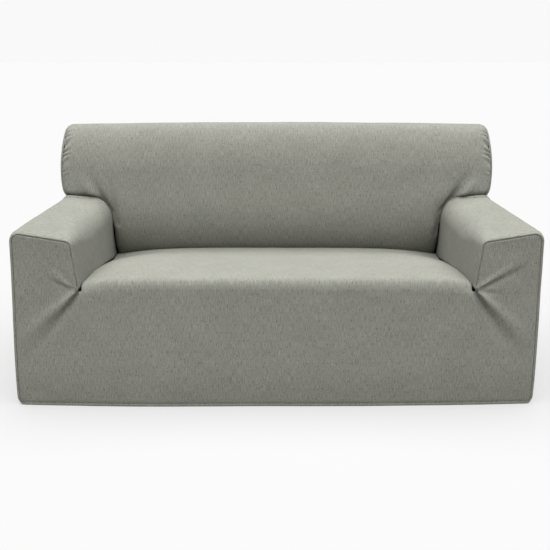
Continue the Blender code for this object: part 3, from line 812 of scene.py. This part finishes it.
# %% [markdown]
# ## Turning a grid of points into cloth
# Every cloth is one or more grids that are welded where they meet. A grid also carries its place on
# the flat cloth, in metres, and a relief: how far each point is raised or sunk along the cloth's own
# normal. At a seam the two cloths turn in, so the relief falls to the seam depth over a few
# millimetres, and that is what shows as a thin dark line. Solidify gives the thickness inwards.

# %% Seams, hem line and soft waves
SEAM_DEPTH = 0.0026
SEAM_WIDTH = 0.0045
HEM_LINE = 0.0092
HEM_LINE_WIDTH = 0.0017
HEM_LINE_DEPTH = 0.0014
WAVES = ((0.24, 0.0011), (0.085, 0.0007), (0.028, 0.00016))
Grid = namedtuple("Grid", "points uv relief")


def seam_relief(points, edges, depth=SEAM_DEPTH, width=SEAM_WIDTH):
    relief = np.zeros(points.shape[:2])
    for edge in edges:
        share = np.clip(1.0 - run_from(points, edge) / width, 0.0, 1.0)
        relief = np.minimum(relief, -depth * share ** 2)
    return relief


def hem_relief(points):
    """A line of stitches a centimetre above the lower edge."""
    return -HEM_LINE_DEPTH * bells(points[:, :, 2] - HEM_LINE, HEM_LINE_WIDTH)


def unevenness(place):
    """Soft waves of a cloth that is pulled over foam."""
    total = 0.0
    for size, height in WAVES:
        total += height * noise.noise(Vector(place) / size)
    return total


print("soft waves are at most", round(1000.0 * sum(height for _, height in WAVES), 2), "mm high")

# %% One grid as a patch
WELD = 0.00025
NEARLY_NOTHING = WELD / 10.0


def add_patch(surface, grid, relief_layer, uv_layer):
    """Add a flat grid to the surface and move its points to the places of a cloth's grid."""
    columns = grid.points.shape[0] - 1
    rows = grid.points.shape[1] - 1
    made = bmesh.ops.create_grid(surface, x_segments=columns, y_segments=rows, size=0.5)
    cell = {}
    for vertex in made["verts"]:
        column = round((vertex.co.x + 0.5) * columns)
        row = round((vertex.co.y + 0.5) * rows)
        cell[vertex] = (column, row)
    for vertex, place in cell.items():
        vertex.co = in_frame(grid.points[place])
        vertex[relief_layer] = grid.relief[place]
    for face in {face for vertex in made["verts"] for face in vertex.link_faces}:
        for loop in face.loops:
            loop[uv_layer].uv = grid.uv[cell[loop.vert]]


def cloth_surface(grids, flipped):
    """Patches welded to one surface, raised and sunk by their relief."""
    surface = bmesh.new()
    relief_layer = surface.verts.layers.float.new("relief")
    uv_layer = surface.loops.layers.uv.new("cloth")
    for grid in grids:
        add_patch(surface, grid, relief_layer, uv_layer)
    bmesh.ops.remove_doubles(surface, verts=surface.verts, dist=WELD)
    bmesh.ops.dissolve_degenerate(surface, edges=surface.edges, dist=NEARLY_NOTHING)
    if flipped:
        bmesh.ops.reverse_faces(surface, faces=surface.faces)
    surface.normal_update()
    moves = []
    for vertex in surface.verts:
        moves.append(vertex.normal * (vertex[relief_layer] + unevenness(vertex.co)))
    for vertex, move in zip(surface.verts, moves):
        vertex.co += move
    return surface


print("points nearer than", 1000.0 * WELD, "mm are welded")


# %% [markdown]
# ## From surface to finished cloth
# The welded surface is the outer side. Solidify adds the thickness behind it, so the sizes above stay
# the outer sizes. The finished cloth then takes the place of the plain solid of the same name, and
# its flat size and area are those of its own UV map, because that is what a maker would cut.

# %% Cloth builder
def make_cloth(name, grids, flipped):
    """A finished cloth in place of its plain solid, with its flat size in its UV map in metres."""
    surface = cloth_surface(grids, flipped)
    mesh = bpy.data.meshes.new(name)
    surface.to_mesh(mesh)
    surface.free()
    mesh.shade_smooth()
    cloth = bpy.data.objects.new(name, mesh)
    bpy.context.collection.objects.link(cloth)
    mesh.materials.append(FABRIC)
    wall = cloth.modifiers.new("thickness", "SOLIDIFY")
    wall.thickness = CLOTH
    wall.offset = -1.0
    bpy.ops.object.select_all(action="DESELECT")
    cloth.select_set(True)
    bpy.context.view_layer.objects.active = cloth
    bpy.ops.object.modifier_apply(modifier=wall.name)
    node = name.removeprefix("cloth_")
    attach(cloth, "root")
    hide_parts(node)
    print(f"{name}: {len(mesh.polygons)} faces")


print("cloths so far:", sum(thing.name.startswith("cloth_") for thing in bpy.data.objects))

# %% [markdown]
# ## Arm wraps
# One cloth goes up the inner face of the arm, over its top, down the outer side to the hem, and
# along the side of the backrest to its rear corner. Its rear edge turns down into the groove beside
# the backrest. Just in front of that it is bunched up to a small lip with a crease before it.

# %% The lip at the rear edge
LIP_HEIGHT = 0.0060
LIP_WIDTH = 0.0048
LIP_FROM_EDGE = 0.0150
LIP_FADE = 0.03
LIP_FALL = 0.075
EDGE_CURL = 0.0030
EDGE_CURL_WIDTH = 0.0032
CREASE_FROM_EDGE = 0.0222
CREASE_DEPTH = 0.0034
CREASE_WIDTH = 0.0024


def lip_profile(from_edge):
    """The cloth turns down at the very edge, stands up as a lip and is creased in front of it."""
    lip = LIP_HEIGHT * bell(from_edge - LIP_FROM_EDGE, LIP_WIDTH)
    crease = CREASE_DEPTH * bell(from_edge - CREASE_FROM_EDGE, CREASE_WIDTH)
    return lip - crease


def lip_relief(points, section):
    """Relief of the rear edge of the wrap: a lip over the top, a plain turned edge further down."""
    from_edge = run_from(points, "high")
    relief = np.zeros(from_edge.shape)
    for column, (x, z) in enumerate(section):
        from_shoulder = section[SIDE_SEAM][0] - x
        up_face = (z - (ARM_TOP_REAR - LIP_FALL)) / LIP_FALL
        share = ease(from_shoulder / LIP_FADE + 0.5) * ease(up_face)
        curl = EDGE_CURL if column < SIDE_SEAM else 0.0
        for row, run in enumerate(from_edge[column]):
            turned = max(1.0 - run / EDGE_CURL_WIDTH, 0.0) ** 2
            relief[column, row] = share * lip_profile(run) - curl * turned
    return relief


print("the lip stands", round(1000.0 * lip_profile(LIP_FROM_EDGE), 1), "mm high")

# %% [markdown]
# ## Front edge and rear corner
# In front the wrap is rolled a little on to the arm front before it meets the seam, which gives the
# pale band round the arm. At the rear it goes halfway round the vertical corner of the backrest.

# %% Front edge and rear corner
ROLL_STEPS = 9
CORNER_RADIUS = 0.030
REAR_CORNER_STEPS = 8


def front_roll_rows(side):
    """Front edge of the wrap: a flat strip along the seam, then a roll on to the arm."""
    turns = [(ARM_FRONT_ROLL + SEAM_STRIP - step, 0.0) for step in SEAM_STEPS[:3]]
    for step in range(ROLL_STEPS):
        angle = step / ROLL_STEPS * math.pi / 2.0
        inset = ARM_FRONT_ROLL * (1.0 - math.sin(angle))
        turns.append((inset, ARM_ROLL_DEPTH * (1.0 - math.cos(angle))))
    rows = []
    for inset, depth in turns:
        section = arm_section(0.0, side, inset)
        rows.append([(side * x, front_face(side * x, z) + depth, z) for x, z in section])
    return rows


def corner_rows(first, last, steps):
    """Insets from the face and from the side round a vertical corner, between two shares of it."""
    rows = []
    for step in range(steps + 1):
        angle = lerp(first, last, step / steps) * math.pi / 2.0
        inset_face = CORNER_RADIUS * (1.0 - math.cos(angle))
        rows.append((inset_face, CORNER_RADIUS * (1.0 - math.sin(angle))))
    return rows


print("rows of the front edge:", len(front_roll_rows(1)))

# %% [markdown]
# ## From the arm front to the rear corner
# The wrap is made as two grids that are welded along the backrest. The first goes over the arm and
# ends in the groove. The second starts there, below the arm's outer edge, and covers the side of the
# backrest down to the hem.

# %% Rows of the arm wraps
WRAP_STEP = 0.0062
EDGE_STEPS = (
    0.0, 0.0016, 0.0036, 0.0060, 0.0085, 0.0105, 0.0125, 0.0145,
    0.0165, 0.0185, 0.0202, 0.0218, 0.0234, 0.0252, 0.028, 0.033,
)
ARM_MIDDLE = 0.3
JOIN = back_face(ARM_TOP_REAR)


def wrap_point(y, x, z, side):
    """A point of the wrap; its depth is stretched so that the rear edge follows the backrest."""
    depth = y * join_depth(x, z) / JOIN
    return (side * (x + arm_inner(depth) - arm_inner(y)), depth, z)


print("rows in the lip:", len(EDGE_STEPS))


# %% Over the arm
def over_arm_grid(side, along):
    """From the seam on the arm front over the whole arm to the groove."""
    lip_start = JOIN - EDGE_STEPS[-1]
    count = round((lip_start - ARM_ROLL_DEPTH) / WRAP_STEP)
    depths = list(np.linspace(ARM_ROLL_DEPTH, lip_start, count + 1))
    depths += [JOIN - step for step in reversed(EDGE_STEPS[:-1])]
    rows = front_roll_rows(side)
    for depth in depths:
        rows.append([wrap_point(depth, x, z, side) for x, z in arm_section(depth, side)])
    points = np.array(rows).swapaxes(0, 1)
    toward(points, "low", SEAM_GAP / 2.0)
    uv = np.stack(np.meshgrid(run_from(points, "low")[INNER_COLUMNS], along), axis=2)
    relief = seam_relief(points, ["low"]) + hem_relief(points)
    relief += lip_relief(points, arm_section(JOIN, side))
    return Grid(points, uv, relief)


print("columns over an arm:", len(arm_section(ARM_MIDDLE, 1)))


# %% Along the backrest, and both wraps
def rear_side_grid(side, along, over):
    """From the end of the arm along the side of the backrest and round its corner."""
    straight_end = BACK_REAR - CORNER_RADIUS
    rows = [over.points[SIDE_SEAM:, -1]]
    start = float(rows[0][:, 1].max())
    count = round((straight_end - start) / WRAP_STEP)
    for depth in np.linspace(start, straight_end, count + 1)[1:]:
        section = arm_section(depth, side)[SIDE_SEAM:]
        rows.append([(side * x, depth, z) for x, z in section])
    section = arm_section(straight_end, side)[SIDE_SEAM:]
    for inset_face, inset_side in corner_rows(1.0, 0.5, REAR_CORNER_STEPS)[1:]:
        rows.append([(side * (x - inset_side), BACK_REAR - inset_face, z) for x, z in section])
    points = np.array(rows).swapaxes(0, 1)
    toward(points, "high", SEAM_GAP / 2.0)
    run = over.uv[0, -1, 0] + run_from(points, "low")[len(points) // 2]
    uv = np.stack(np.meshgrid(run, along[SIDE_SEAM:]), axis=2)
    relief = seam_relief(points, ["high"]) + hem_relief(points)
    relief[:, 1:] = np.minimum(relief, seam_relief(points, ["left"]))[:, 1:]
    return Grid(points, uv, relief)


for side, word in ((-1, "left"), (1, "right")):
    along = section_run(arm_section(ARM_MIDDLE, side))
    over = over_arm_grid(side, along)
    grids = [over, rear_side_grid(side, along, over)]
    make_cloth(f"cloth_arm_wrap_{word}", grids, side < 0)

# %% [markdown]
# ## Seat and front skirt
# The seat, the front skirt and both arm fronts are one cloth in this cover, slit at the two places
# where the seat meets the arms. It is made as four patches that are welded at the height of the
# slits: the two arm fronts, the skirt and the seat. An arm front has three curved sides, so its
# points are blended between them.

# %% Arm fronts above the slits
FLAP_COLUMN_SHARES = spaced(0.20, 0.0042)
FLAP_ROW_SHARES = spaced(0.18, 0.0042, False, True)


def flap_sides(side):
    """Inner edge, top edge and outer edge of an arm front, in x and z."""
    runs = arm_runs(0.0, side, ARM_FRONT_ROLL + SEAM_STRIP)
    inner = resample(runs[0], FLAP_ROW_SHARES)
    top = resample(runs[1], FLAP_COLUMN_SHARES)
    outer = resample(runs[2][::-1], FLAP_ROW_SHARES)
    inner[0] = (SLIT_X, SLIT_HEIGHT)
    return inner, top, outer


def flap_grid(side):
    """A patch between its inner edge, its top and its outer edge."""
    inner, top, outer = flap_sides(side)
    points = np.zeros((len(FLAP_COLUMN_SHARES), len(FLAP_ROW_SHARES), 3))
    for column, across in enumerate(FLAP_COLUMN_SHARES):
        for row, up in enumerate(FLAP_ROW_SHARES):
            sides = lerp(inner[row], outer[row], across)
            foot = lerp(inner[0], outer[0], across)
            ends = lerp(foot, top[column], up)
            corners = lerp(foot, lerp(top[0], top[-1], across), up)
            x, z = sides + ends - corners
            points[column, row] = (side * x, front_face(side * x, z), z)
    toward(points[:, 1:], "left", SEAM_GAP / 2.0)
    toward(points, "high", SEAM_GAP / 2.0)
    toward(points, "right", SEAM_GAP / 2.0)
    relief = seam_relief(points, ["left", "high", "right"])
    relief[:, 0] = seam_relief(points, ["right"])[:, 0]
    if side < 0:
        points = points[::-1]
        relief = relief[::-1]
    return Grid(points, points[:, :, [0, 2]], relief)


flaps = {side: flap_grid(side) for side in (-1, 1)}
print("an arm front has", flaps[1].points.shape[:2], "points")

# %% [markdown]
# ## Skirt
# The skirt hangs from the slits to the hem and takes over the columns of the arm fronts, so no seam
# shows between them. Its rows stand close together in the upper part, where the creases from the
# slits are narrow, and wide apart below, where only the hem line needs fine rows.

# %% Skirt
SEAT_COLUMNS = 174
MORE_BESIDE_ARMS = 0.35
FRONT_ROW_STEP_LOW = 0.0080
FRONT_ROW_STEP_HIGH = 0.0034
FRONT_ROWS_CHANGE = 0.29
LOW_ROWS = spaced(FRONT_ROWS_CHANGE, FRONT_ROW_STEP_LOW, True, False, HEM_STEPS)
HIGH_ROWS = np.arange(SLIT_HEIGHT, FRONT_ROWS_CHANGE, -FRONT_ROW_STEP_HIGH)[::-1]
FRONT_ROWS = np.concatenate((LOW_ROWS * FRONT_ROWS_CHANGE, HIGH_ROWS))


def stations(half, columns):
    """Places across the sofa, closer together beside the arms."""
    shares = np.linspace(-1.0, 1.0, columns + 1)
    return half * ((1.0 + MORE_BESIDE_ARMS) * shares - MORE_BESIDE_ARMS * shares ** 3)


def slit_row():
    """The row of the cloth at the height of the slits, from one slit to the other."""
    return [(x, front_face(x, SLIT_HEIGHT), SLIT_HEIGHT) for x in stations(SLIT_X, SEAT_COLUMNS)]


def skirt_grid():
    top_row = [tuple(point) for point in flaps[-1].points[:-1, 0]]
    top_row += slit_row()
    top_row += [tuple(point) for point in flaps[1].points[1:, 0]]
    edges = {}
    for side in (-1, 1):
        edge = arm_runs(0.0, side, ARM_FRONT_ROLL + SEAM_STRIP)[3][::-1]
        edges[side] = [point.y for point in edge], [point.x for point in edge]
    points = np.zeros((len(top_row), len(FRONT_ROWS), 3))
    for column, top in enumerate(top_row):
        heights, widths = edges[-1 if top[0] < 0.0 else 1]
        for row, z in enumerate(FRONT_ROWS):
            x = top[0] * np.interp(z, heights, widths) / widths[-1]
            points[column, row] = (x, front_face(x, z), z)
        points[column, -1] = top
    relief = seam_relief(points, ["left", "right"]) + hem_relief(points)
    return Grid(points, points[:, :, [0, 2]], relief)


print("rows of the skirt:", len(FRONT_ROWS))

# %% [markdown]
# ## Seat
# The padding gives the seat a crown and a rolled front edge, which is an upright ellipse: the cloth
# comes up steeply and turns over in a few centimetres. Beside the arms and along the backrest the
# seat turns down into the gap, and beside each slit it is notched where the arm's cloth starts.

# %% Seat
SEAT_ROLL_ROWS = 14
SEAT_ROW_SHARES = spaced(0.60, 0.0058, False, True)
SEAT_CURL = 0.004
SEAT_CURL_WIDTH = 0.010
NOTCH_DEPTH = 0.007
NOTCH_WIDTH = 0.006
NOTCH_PLACE = 0.012
NOTCH_LENGTH = 0.010
NOTCH_FADE = 0.006


def between_arms(share, y):
    """A share of the way from the middle to the arm, just clear of the arm's cloth."""
    return share * (arm_inner(max(y, 0.0)) - SEAM_GAP)


def seat_column(at_slit):
    """From the slit row over the rolled edge and along the seat to the backrest."""
    x, front, _ = at_slit
    share = x / SLIT_X
    face = front - roll_recess(x, SLIT_HEIGHT)
    centre_z = seat_height(x, SEAT_ROLL) - SEAT_ROLL_HEIGHT
    rise = min(max((SLIT_HEIGHT - centre_z) / SEAT_ROLL_HEIGHT, 0.0), 1.0)
    strip = [at_slit]
    for row in range(1, SEAT_ROLL_ROWS + 1):
        angle = lerp(math.asin(rise), math.pi / 2.0, row / SEAT_ROLL_ROWS)
        y = face + SEAT_ROLL * (1.0 - math.cos(angle))
        strip.append((between_arms(share, y), y, centre_z + SEAT_ROLL_HEIGHT * math.sin(angle)))
    first = strip[-1][1]
    last = join_depth(x, seat_height(x, BACK_FACE_LOW))
    for depth_share in SEAT_ROW_SHARES[1:]:
        y = lerp(first, last, depth_share)
        across = between_arms(share, y)
        strip.append((across, y, seat_height(across, y)))
    return strip


def seat_grid():
    points = np.array([seat_column(at_slit) for at_slit in slit_row()])
    from_slit = run_from(points, "low")
    uv = np.stack((points[:, :, 0], SLIT_HEIGHT + from_slit), axis=2)
    relief = seam_relief(points, ["high", "left", "right"], SEAT_CURL, SEAT_CURL_WIDTH)
    notch = seam_relief(points, ["left", "right"], NOTCH_DEPTH, NOTCH_WIDTH)
    relief += notch * bells(from_slit - NOTCH_PLACE, NOTCH_LENGTH)
    relief *= np.clip(from_slit / NOTCH_FADE, 0.0, 1.0)
    return Grid(points, uv, relief)


grids = [skirt_grid(), flaps[-1], flaps[1], seat_grid()]
make_cloth("cloth_seat_front", grids, False)

# %% [markdown]
# ## Inside back
# The inside back goes from behind the seat up the leaning face, over the thick round top and a
# hand's width down the rear. Its side view is one path, so the cloth is that path repeated across
# the sofa. The rows over the round top are evenly spaced, because the puckers run across them.

# %% The path of the backrest
BACK_ROLL_START = 0.680
BACK_ROLL_DEPTH = 0.078
BACK_REAR_ROLL = 0.080
BACK_TOP = 0.848
BACK_REAR_SEAM = 0.745
BACK_LOWEST = 0.335
BACK_FACE_SHARES = spaced(0.19, 0.0055, False, False)
BACK_REAR_SHARES = spaced(0.030, 0.005, False, True)
BACK_FRONT_STEPS = 48
BACK_REAR_STEPS = 14
BACK_TOP_STEPS = 12


def front_roll():
    """The padding leans back more and more, and then turns over to the flat top."""
    rise = BACK_TOP - BACK_ROLL_START
    points = []
    for angle in np.linspace(0.0, math.pi / 2.0, 2 * BACK_FRONT_STEPS + 1):
        y = back_face(BACK_ROLL_START) + BACK_FACE_LEAN * rise * math.sin(angle)
        y += BACK_ROLL_DEPTH * (1.0 - math.cos(angle))
        points.append((y, BACK_ROLL_START + rise * math.sin(angle)))
    even = resample(points, np.linspace(0.0, 1.0, BACK_FRONT_STEPS + 1))
    return [Vector(place) for place in even]


def straight(start, end, shares):
    """Points on the way from one point to another, without the first."""
    return [Vector(start).lerp(Vector(end), share) for share in shares[1:]]


print("points on the front roll:", len(front_roll()))


# %% The whole path, its normals and its length
def back_rows(low):
    """The inside back in y and z: up the face from a low end, over the top and down to its seam."""
    front_arc = front_roll()
    top_rear = (BACK_REAR, BACK_TOP)
    rear_low = (BACK_REAR, BACK_REAR_SEAM)
    rear_arc = corner_arc(top_rear, front_arc[-1], rear_low, BACK_REAR_ROLL, BACK_REAR_STEPS)
    path = [Vector((back_face(z), z)) for z in lerp(low, BACK_ROLL_START, BACK_FACE_SHARES)]
    path += front_arc[1:]
    path += straight(front_arc[-1], rear_arc[0], np.linspace(0.0, 1.0, BACK_TOP_STEPS + 1))
    path += rear_arc[1:]
    path += straight(rear_arc[-1], rear_low, BACK_REAR_SHARES)
    return path


def path_normals(path):
    """Outward normals of a path in y and z that runs up the front and over the top."""
    normals = []
    for index in range(len(path)):
        before = path[max(index - 1, 0)]
        after = path[min(index + 1, len(path) - 1)]
        along = (after - before).normalized()
        normals.append(Vector((-along.y, along.x)))
    return normals


def path_run(path):
    """Length along the inside back, from its lowest end."""
    return path[0].y - BACK_LOWEST + section_run(np.array([tuple(point) for point in path]))


print("rows of the backrest above an arm:", len(back_rows(ARM_TOP_REAR)))

# %% [markdown]
# ## Creases and puckers of the inside back
# The top is crowned towards the middle. Two broad creases rise from each arm, where the cloth is
# pulled round it. Beside the side seams the cloth is gathered, so that it can go round the top, and
# that leaves short slanting puckers. A sine wave gives them, and a slower one makes them uneven.

# %% Creases and puckers
BACK_CROWN = 0.008
CROWN_HALF_WIDTH = 0.83
CROWN_START = 0.60
CROWN_RISE = 0.26
CREASE_START = 0.012
CREASES_REACH_BACK = 0.05
PUCKER_DEPTH = 0.0085
PUCKER_SPACING = 0.026
PUCKER_SWING = 0.30
PUCKER_SWING_LENGTH = 0.083
PUCKER_SLANT = -0.45
PUCKER_HEIGHT = 0.775
PUCKER_REACH = 0.075
PUCKER_FROM_SEAM = 0.011
PUCKER_LENGTH = 0.016
BACK_FOLDS = {
    -1: [
        Fold(0.655, 0.520, 0.735, 0.700, 0.018, 0.011, 0.022, -1.00),
        Fold(0.628, 0.480, 0.655, 0.710, 0.010, 0.014, 0.028, -0.60),
    ],
    1: [
        Fold(0.650, 0.525, 0.770, 0.700, 0.022, 0.010, 0.022, -1.10),
        Fold(0.630, 0.430, 0.642, 0.600, 0.009, 0.009, 0.018, -0.60),
    ],
}


def back_shape(x, place):
    """Crown of the top and the creases of the inside back."""
    y, z = place
    side = -1 if x < 0.0 else 1
    crown = BACK_CROWN * (1.0 - (x / CROWN_HALF_WIDTH) ** 2)
    crown *= ease((z - CROWN_START) / CROWN_RISE)
    creases = 0.0
    if y < back_face(z) + CREASES_REACH_BACK:
        clear = ease(from_arm(x, z) / CREASE_START)
        creases = fold_depth(BACK_FOLDS[side], abs(x), z) * clear + beside_arm(x, z)
    return (x, y + creases, z + crown)


def pucker_relief(points, uv):
    """Short slanting puckers beside the side seam, where the round top is gathered."""
    from_seam = run_from(points, "right")
    turns = (uv[:, :, 1] + PUCKER_SLANT * from_seam) / PUCKER_SPACING
    turns += PUCKER_SWING * np.sin(2.0 * math.pi * uv[:, :, 1] / PUCKER_SWING_LENGTH)
    place = bells(points[:, :, 2] - PUCKER_HEIGHT, PUCKER_REACH)
    beside = bells(from_seam - PUCKER_FROM_SEAM, PUCKER_LENGTH)
    front = points[:, :, 1] < BACK_REAR - BACK_REAR_ROLL
    folds = (0.5 + 0.5 * np.sin(2.0 * math.pi * turns)) ** 2
    return -PUCKER_DEPTH * place * beside * front * folds


print("crown of the top:", round(back_shape(0.0, (BACK_REAR, BACK_TOP))[2] - BACK_TOP, 4), "m")

# %% [markdown]
# ## The three parts of the inside back
# Between the arms the cloth goes down behind the seat. On each side of that, it starts on top of the
# arm and goes out to the side seam, so three patches are welded. The lower edge of a side patch
# follows the arm's own section, and its last columns go halfway round the front corner.

# %% Edges of the inside back
BACK_COLUMNS = 190
BACK_LOW_SHARES = spaced(0.25, 0.006, False, False)
BACK_SIDE_SHARES = spaced(0.17, 0.0055, False, False)
BACK_CORNER_STEPS = 10
LOW_EDGE_BLEND = 6.0
ARM_END = arm_section(BACK_FACE_LOW, 1)
ARM_FOLLOWED = ARM_END[ARM_FOLLOWED_FROM : SIDE_SEAM + 1]
SIDE_SEAM_HEIGHT = ARM_END[SIDE_SEAM][1]
MIDDLE_HALF = ARM_INNER_REAR - TUCK
MIDDLE_TOP = float(ARM_FOLLOWED[0][1])


def arm_surface(x):
    """Height of the arm's cloth at the backrest, at a distance from the middle."""
    return float(np.interp(x, ARM_FOLLOWED[:, 0], ARM_FOLLOWED[:, 1]))


print("the side seam starts", round(SIDE_SEAM_HEIGHT, 3), "m above the floor")


# %% Middle and side patches
def middle_grid():
    """The part between the arms."""
    low_part = []
    for z in lerp(BACK_LOWEST, MIDDLE_TOP, BACK_LOW_SHARES[:-1]):
        low_part.append(Vector((back_face(z), z)))
    path = low_part + back_rows(MIDDLE_TOP)
    across = stations(MIDDLE_HALF, BACK_COLUMNS)
    points = np.array([[back_shape(x, place) for place in path] for x in across])
    run = np.broadcast_to(path_run(path), points.shape[:2])
    uv = np.stack((points[:, :, 0], run), axis=2)
    return Grid(points, uv, seam_relief(points, ["high"]))


def side_columns(side):
    """Columns over the arm and round the front corner, each with its run along the cloth."""
    for share in BACK_SIDE_SHARES:
        over_arm = lerp(MIDDLE_HALF, back_half(ARM_TOP_REAR) - CORNER_RADIUS, share)
        on_arm = arm_surface(over_arm) - CLOTH
        path = back_rows(lerp(MIDDLE_TOP, on_arm, ease(LOW_EDGE_BLEND * share)))
        strip = []
        for place in path:
            x = lerp(MIDDLE_HALF, back_half(place.y) - CORNER_RADIUS, share)
            strip.append(back_shape(side * x, place))
        yield strip, path_run(path)
    path = back_rows(SIDE_SEAM_HEIGHT + SEAM_GAP)
    for inset_face, inset_side in corner_rows(0.0, 0.5, BACK_CORNER_STEPS)[1:]:
        strip = []
        for place, normal in zip(path, path_normals(path)):
            x = back_half(place.y) - inset_side
            strip.append(back_shape(side * x, place - normal * inset_face))
        yield strip, path_run(path)


def side_grid(side):
    """The part above one arm."""
    columns, runs = zip(*side_columns(side))
    points = np.array(columns)
    toward(points, "right", SEAM_GAP / 2.0)
    uv = np.stack((points[:, :, 0], np.array(runs)), axis=2)
    relief = seam_relief(points, ["high", "right"]) + pucker_relief(points, uv)
    if side < 0:
        return Grid(points[::-1], uv[::-1], relief[::-1])
    return Grid(points, uv, relief)


grids = [middle_grid(), side_grid(-1), side_grid(1)]
for grid in grids:
    toward(grid.points, "high", SEAM_GAP / 2.0)
make_cloth("cloth_inside_back", grids, False)

# %% [markdown]
# ## Gussets
# A gusset is the small upright piece that closes the side of the backrest above the arm. It takes
# over the edge of the inside back, goes round the other half of the corner and then runs inwards in
# rings to an upright line in its middle, where its halves meet and are welded.

# %% Gussets
GUSSET_RINGS = spaced(0.10, 0.006, False, False)
GUSSET_POLE = 0.763
STRAIGHT_INSET = 0.012
SIDE_PILLOW = 0.004


def gusset_path(low):
    """Round the gusset: the path of the inside back and then down the rear corner."""
    path = back_rows(low)
    count = len(BACK_FACE_SHARES) + BACK_FRONT_STEPS - BACK_REAR_STEPS - len(BACK_REAR_SHARES)
    return path + straight(path[-1], (BACK_REAR, low), np.linspace(0.0, 1.0, count + 1))


def gusset_column(side, low, place, normal, middle):
    """From a place on the outline round the corner and in to the middle line."""
    strip = []
    inward = (middle - (place - normal * STRAIGHT_INSET)).normalized()
    for inset_face, inset_side in corner_rows(0.5, 1.0, BACK_CORNER_STEPS):
        inner = place - normal * min(inset_face, STRAIGHT_INSET)
        inner += inward * max(inset_face - STRAIGHT_INSET, 0.0)
        inner.y = max(inner.y, low)
        x = back_half(place.y) - inset_side
        strip.append((side * x, inner.x, back_shape(side * x, inner)[2]))
    flat = inner
    for share in GUSSET_RINGS[1:]:
        inner = flat.lerp(middle, share)
        x = back_half(inner.y) + SIDE_PILLOW * math.sin(share * math.pi / 2.0)
        strip.append((side * x, inner.x, inner.y))
    return strip


def gusset_grid(side):
    low = SIDE_SEAM_HEIGHT + SEAM_GAP
    path = gusset_path(low)
    last = len(path) - 1
    columns = []
    for index, (place, normal) in enumerate(zip(path, path_normals(path))):
        height = min(max(path[min(index, last - index)].y, low), GUSSET_POLE)
        middle = Vector((lerp(back_face(height), BACK_REAR, 0.5), height))
        columns.append(gusset_column(side, low, place, normal, middle))
    points = np.array(columns)
    toward(points, "low", SEAM_GAP / 2.0)
    return Grid(points, points[:, :, [1, 2]], seam_relief(points, ["low", "left", "right"]))


for side, word in ((-1, "left"), (1, "right")):
    grids = [gusset_grid(side)]
    make_cloth(f"cloth_back_gusset_{word}", grids, side > 0)

# %% [markdown]
# ## Outside back
# The rear is one plain panel that hangs from the seam below the top down to the hem. Its sides go
# halfway round the rear corners, up to the gussets and the arm wraps, and it is a flat grid between
# them, because nothing pulls at it there.

# %% Outside back
REAR_STEP = 0.0085
REAR_UPPER_SHARES = spaced(0.16, 0.006, True, False)


def outside_back_grid():
    upper = lerp(BACK_REAR_SEAM, SIDE_SEAM_HEIGHT + SEAM_GAP / 2.0, REAR_UPPER_SHARES)
    lower = {}
    for side in (-1, 1):
        lower[side] = arm_section(BACK_REAR - CORNER_RADIUS, side)[SIDE_SEAM + 1 :]
    corner = corner_rows(0.5, 0.0, BACK_CORNER_STEPS)
    count = round(2.0 * (ARM_OUTER_REAR - CORNER_RADIUS) / REAR_STEP)
    places = [(-1.0, inset) for inset in corner]
    places += [(2.0 * column / count - 1.0, corner[-1]) for column in range(1, count)]
    places += [(1.0, inset) for inset in reversed(corner)]
    columns = []
    for share, (inset_face, inset_side) in places:
        edge = [(back_half(z), z) for z in upper] + list(lower[-1 if share < 0.0 else 1])
        depth = BACK_REAR - inset_face
        columns.append([(share * (x - inset_side), depth, z) for x, z in edge])
    points = np.array(columns)
    for name in ("left", "right", "low"):
        toward(points, name, SEAM_GAP / 2.0)
    relief = seam_relief(points, ["left", "right", "low"]) + hem_relief(points)
    return Grid(points, points[:, :, [0, 2]], relief)


grids = [outside_back_grid()]
make_cloth("cloth_outside_back", grids, False)

# %% [markdown]
# ## The two boxes
# Both boxes, the solids' and the finished cloth's, are printed one under the other. The finished
# cloth may stand a few millimetres proud of the solids and no more.

# %% Both boxes
visual_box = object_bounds()
for word, box in (("solids", solid_box), ("visual", visual_box)):
    print(word, [[round(value, 4) for value in corner] for corner in box])
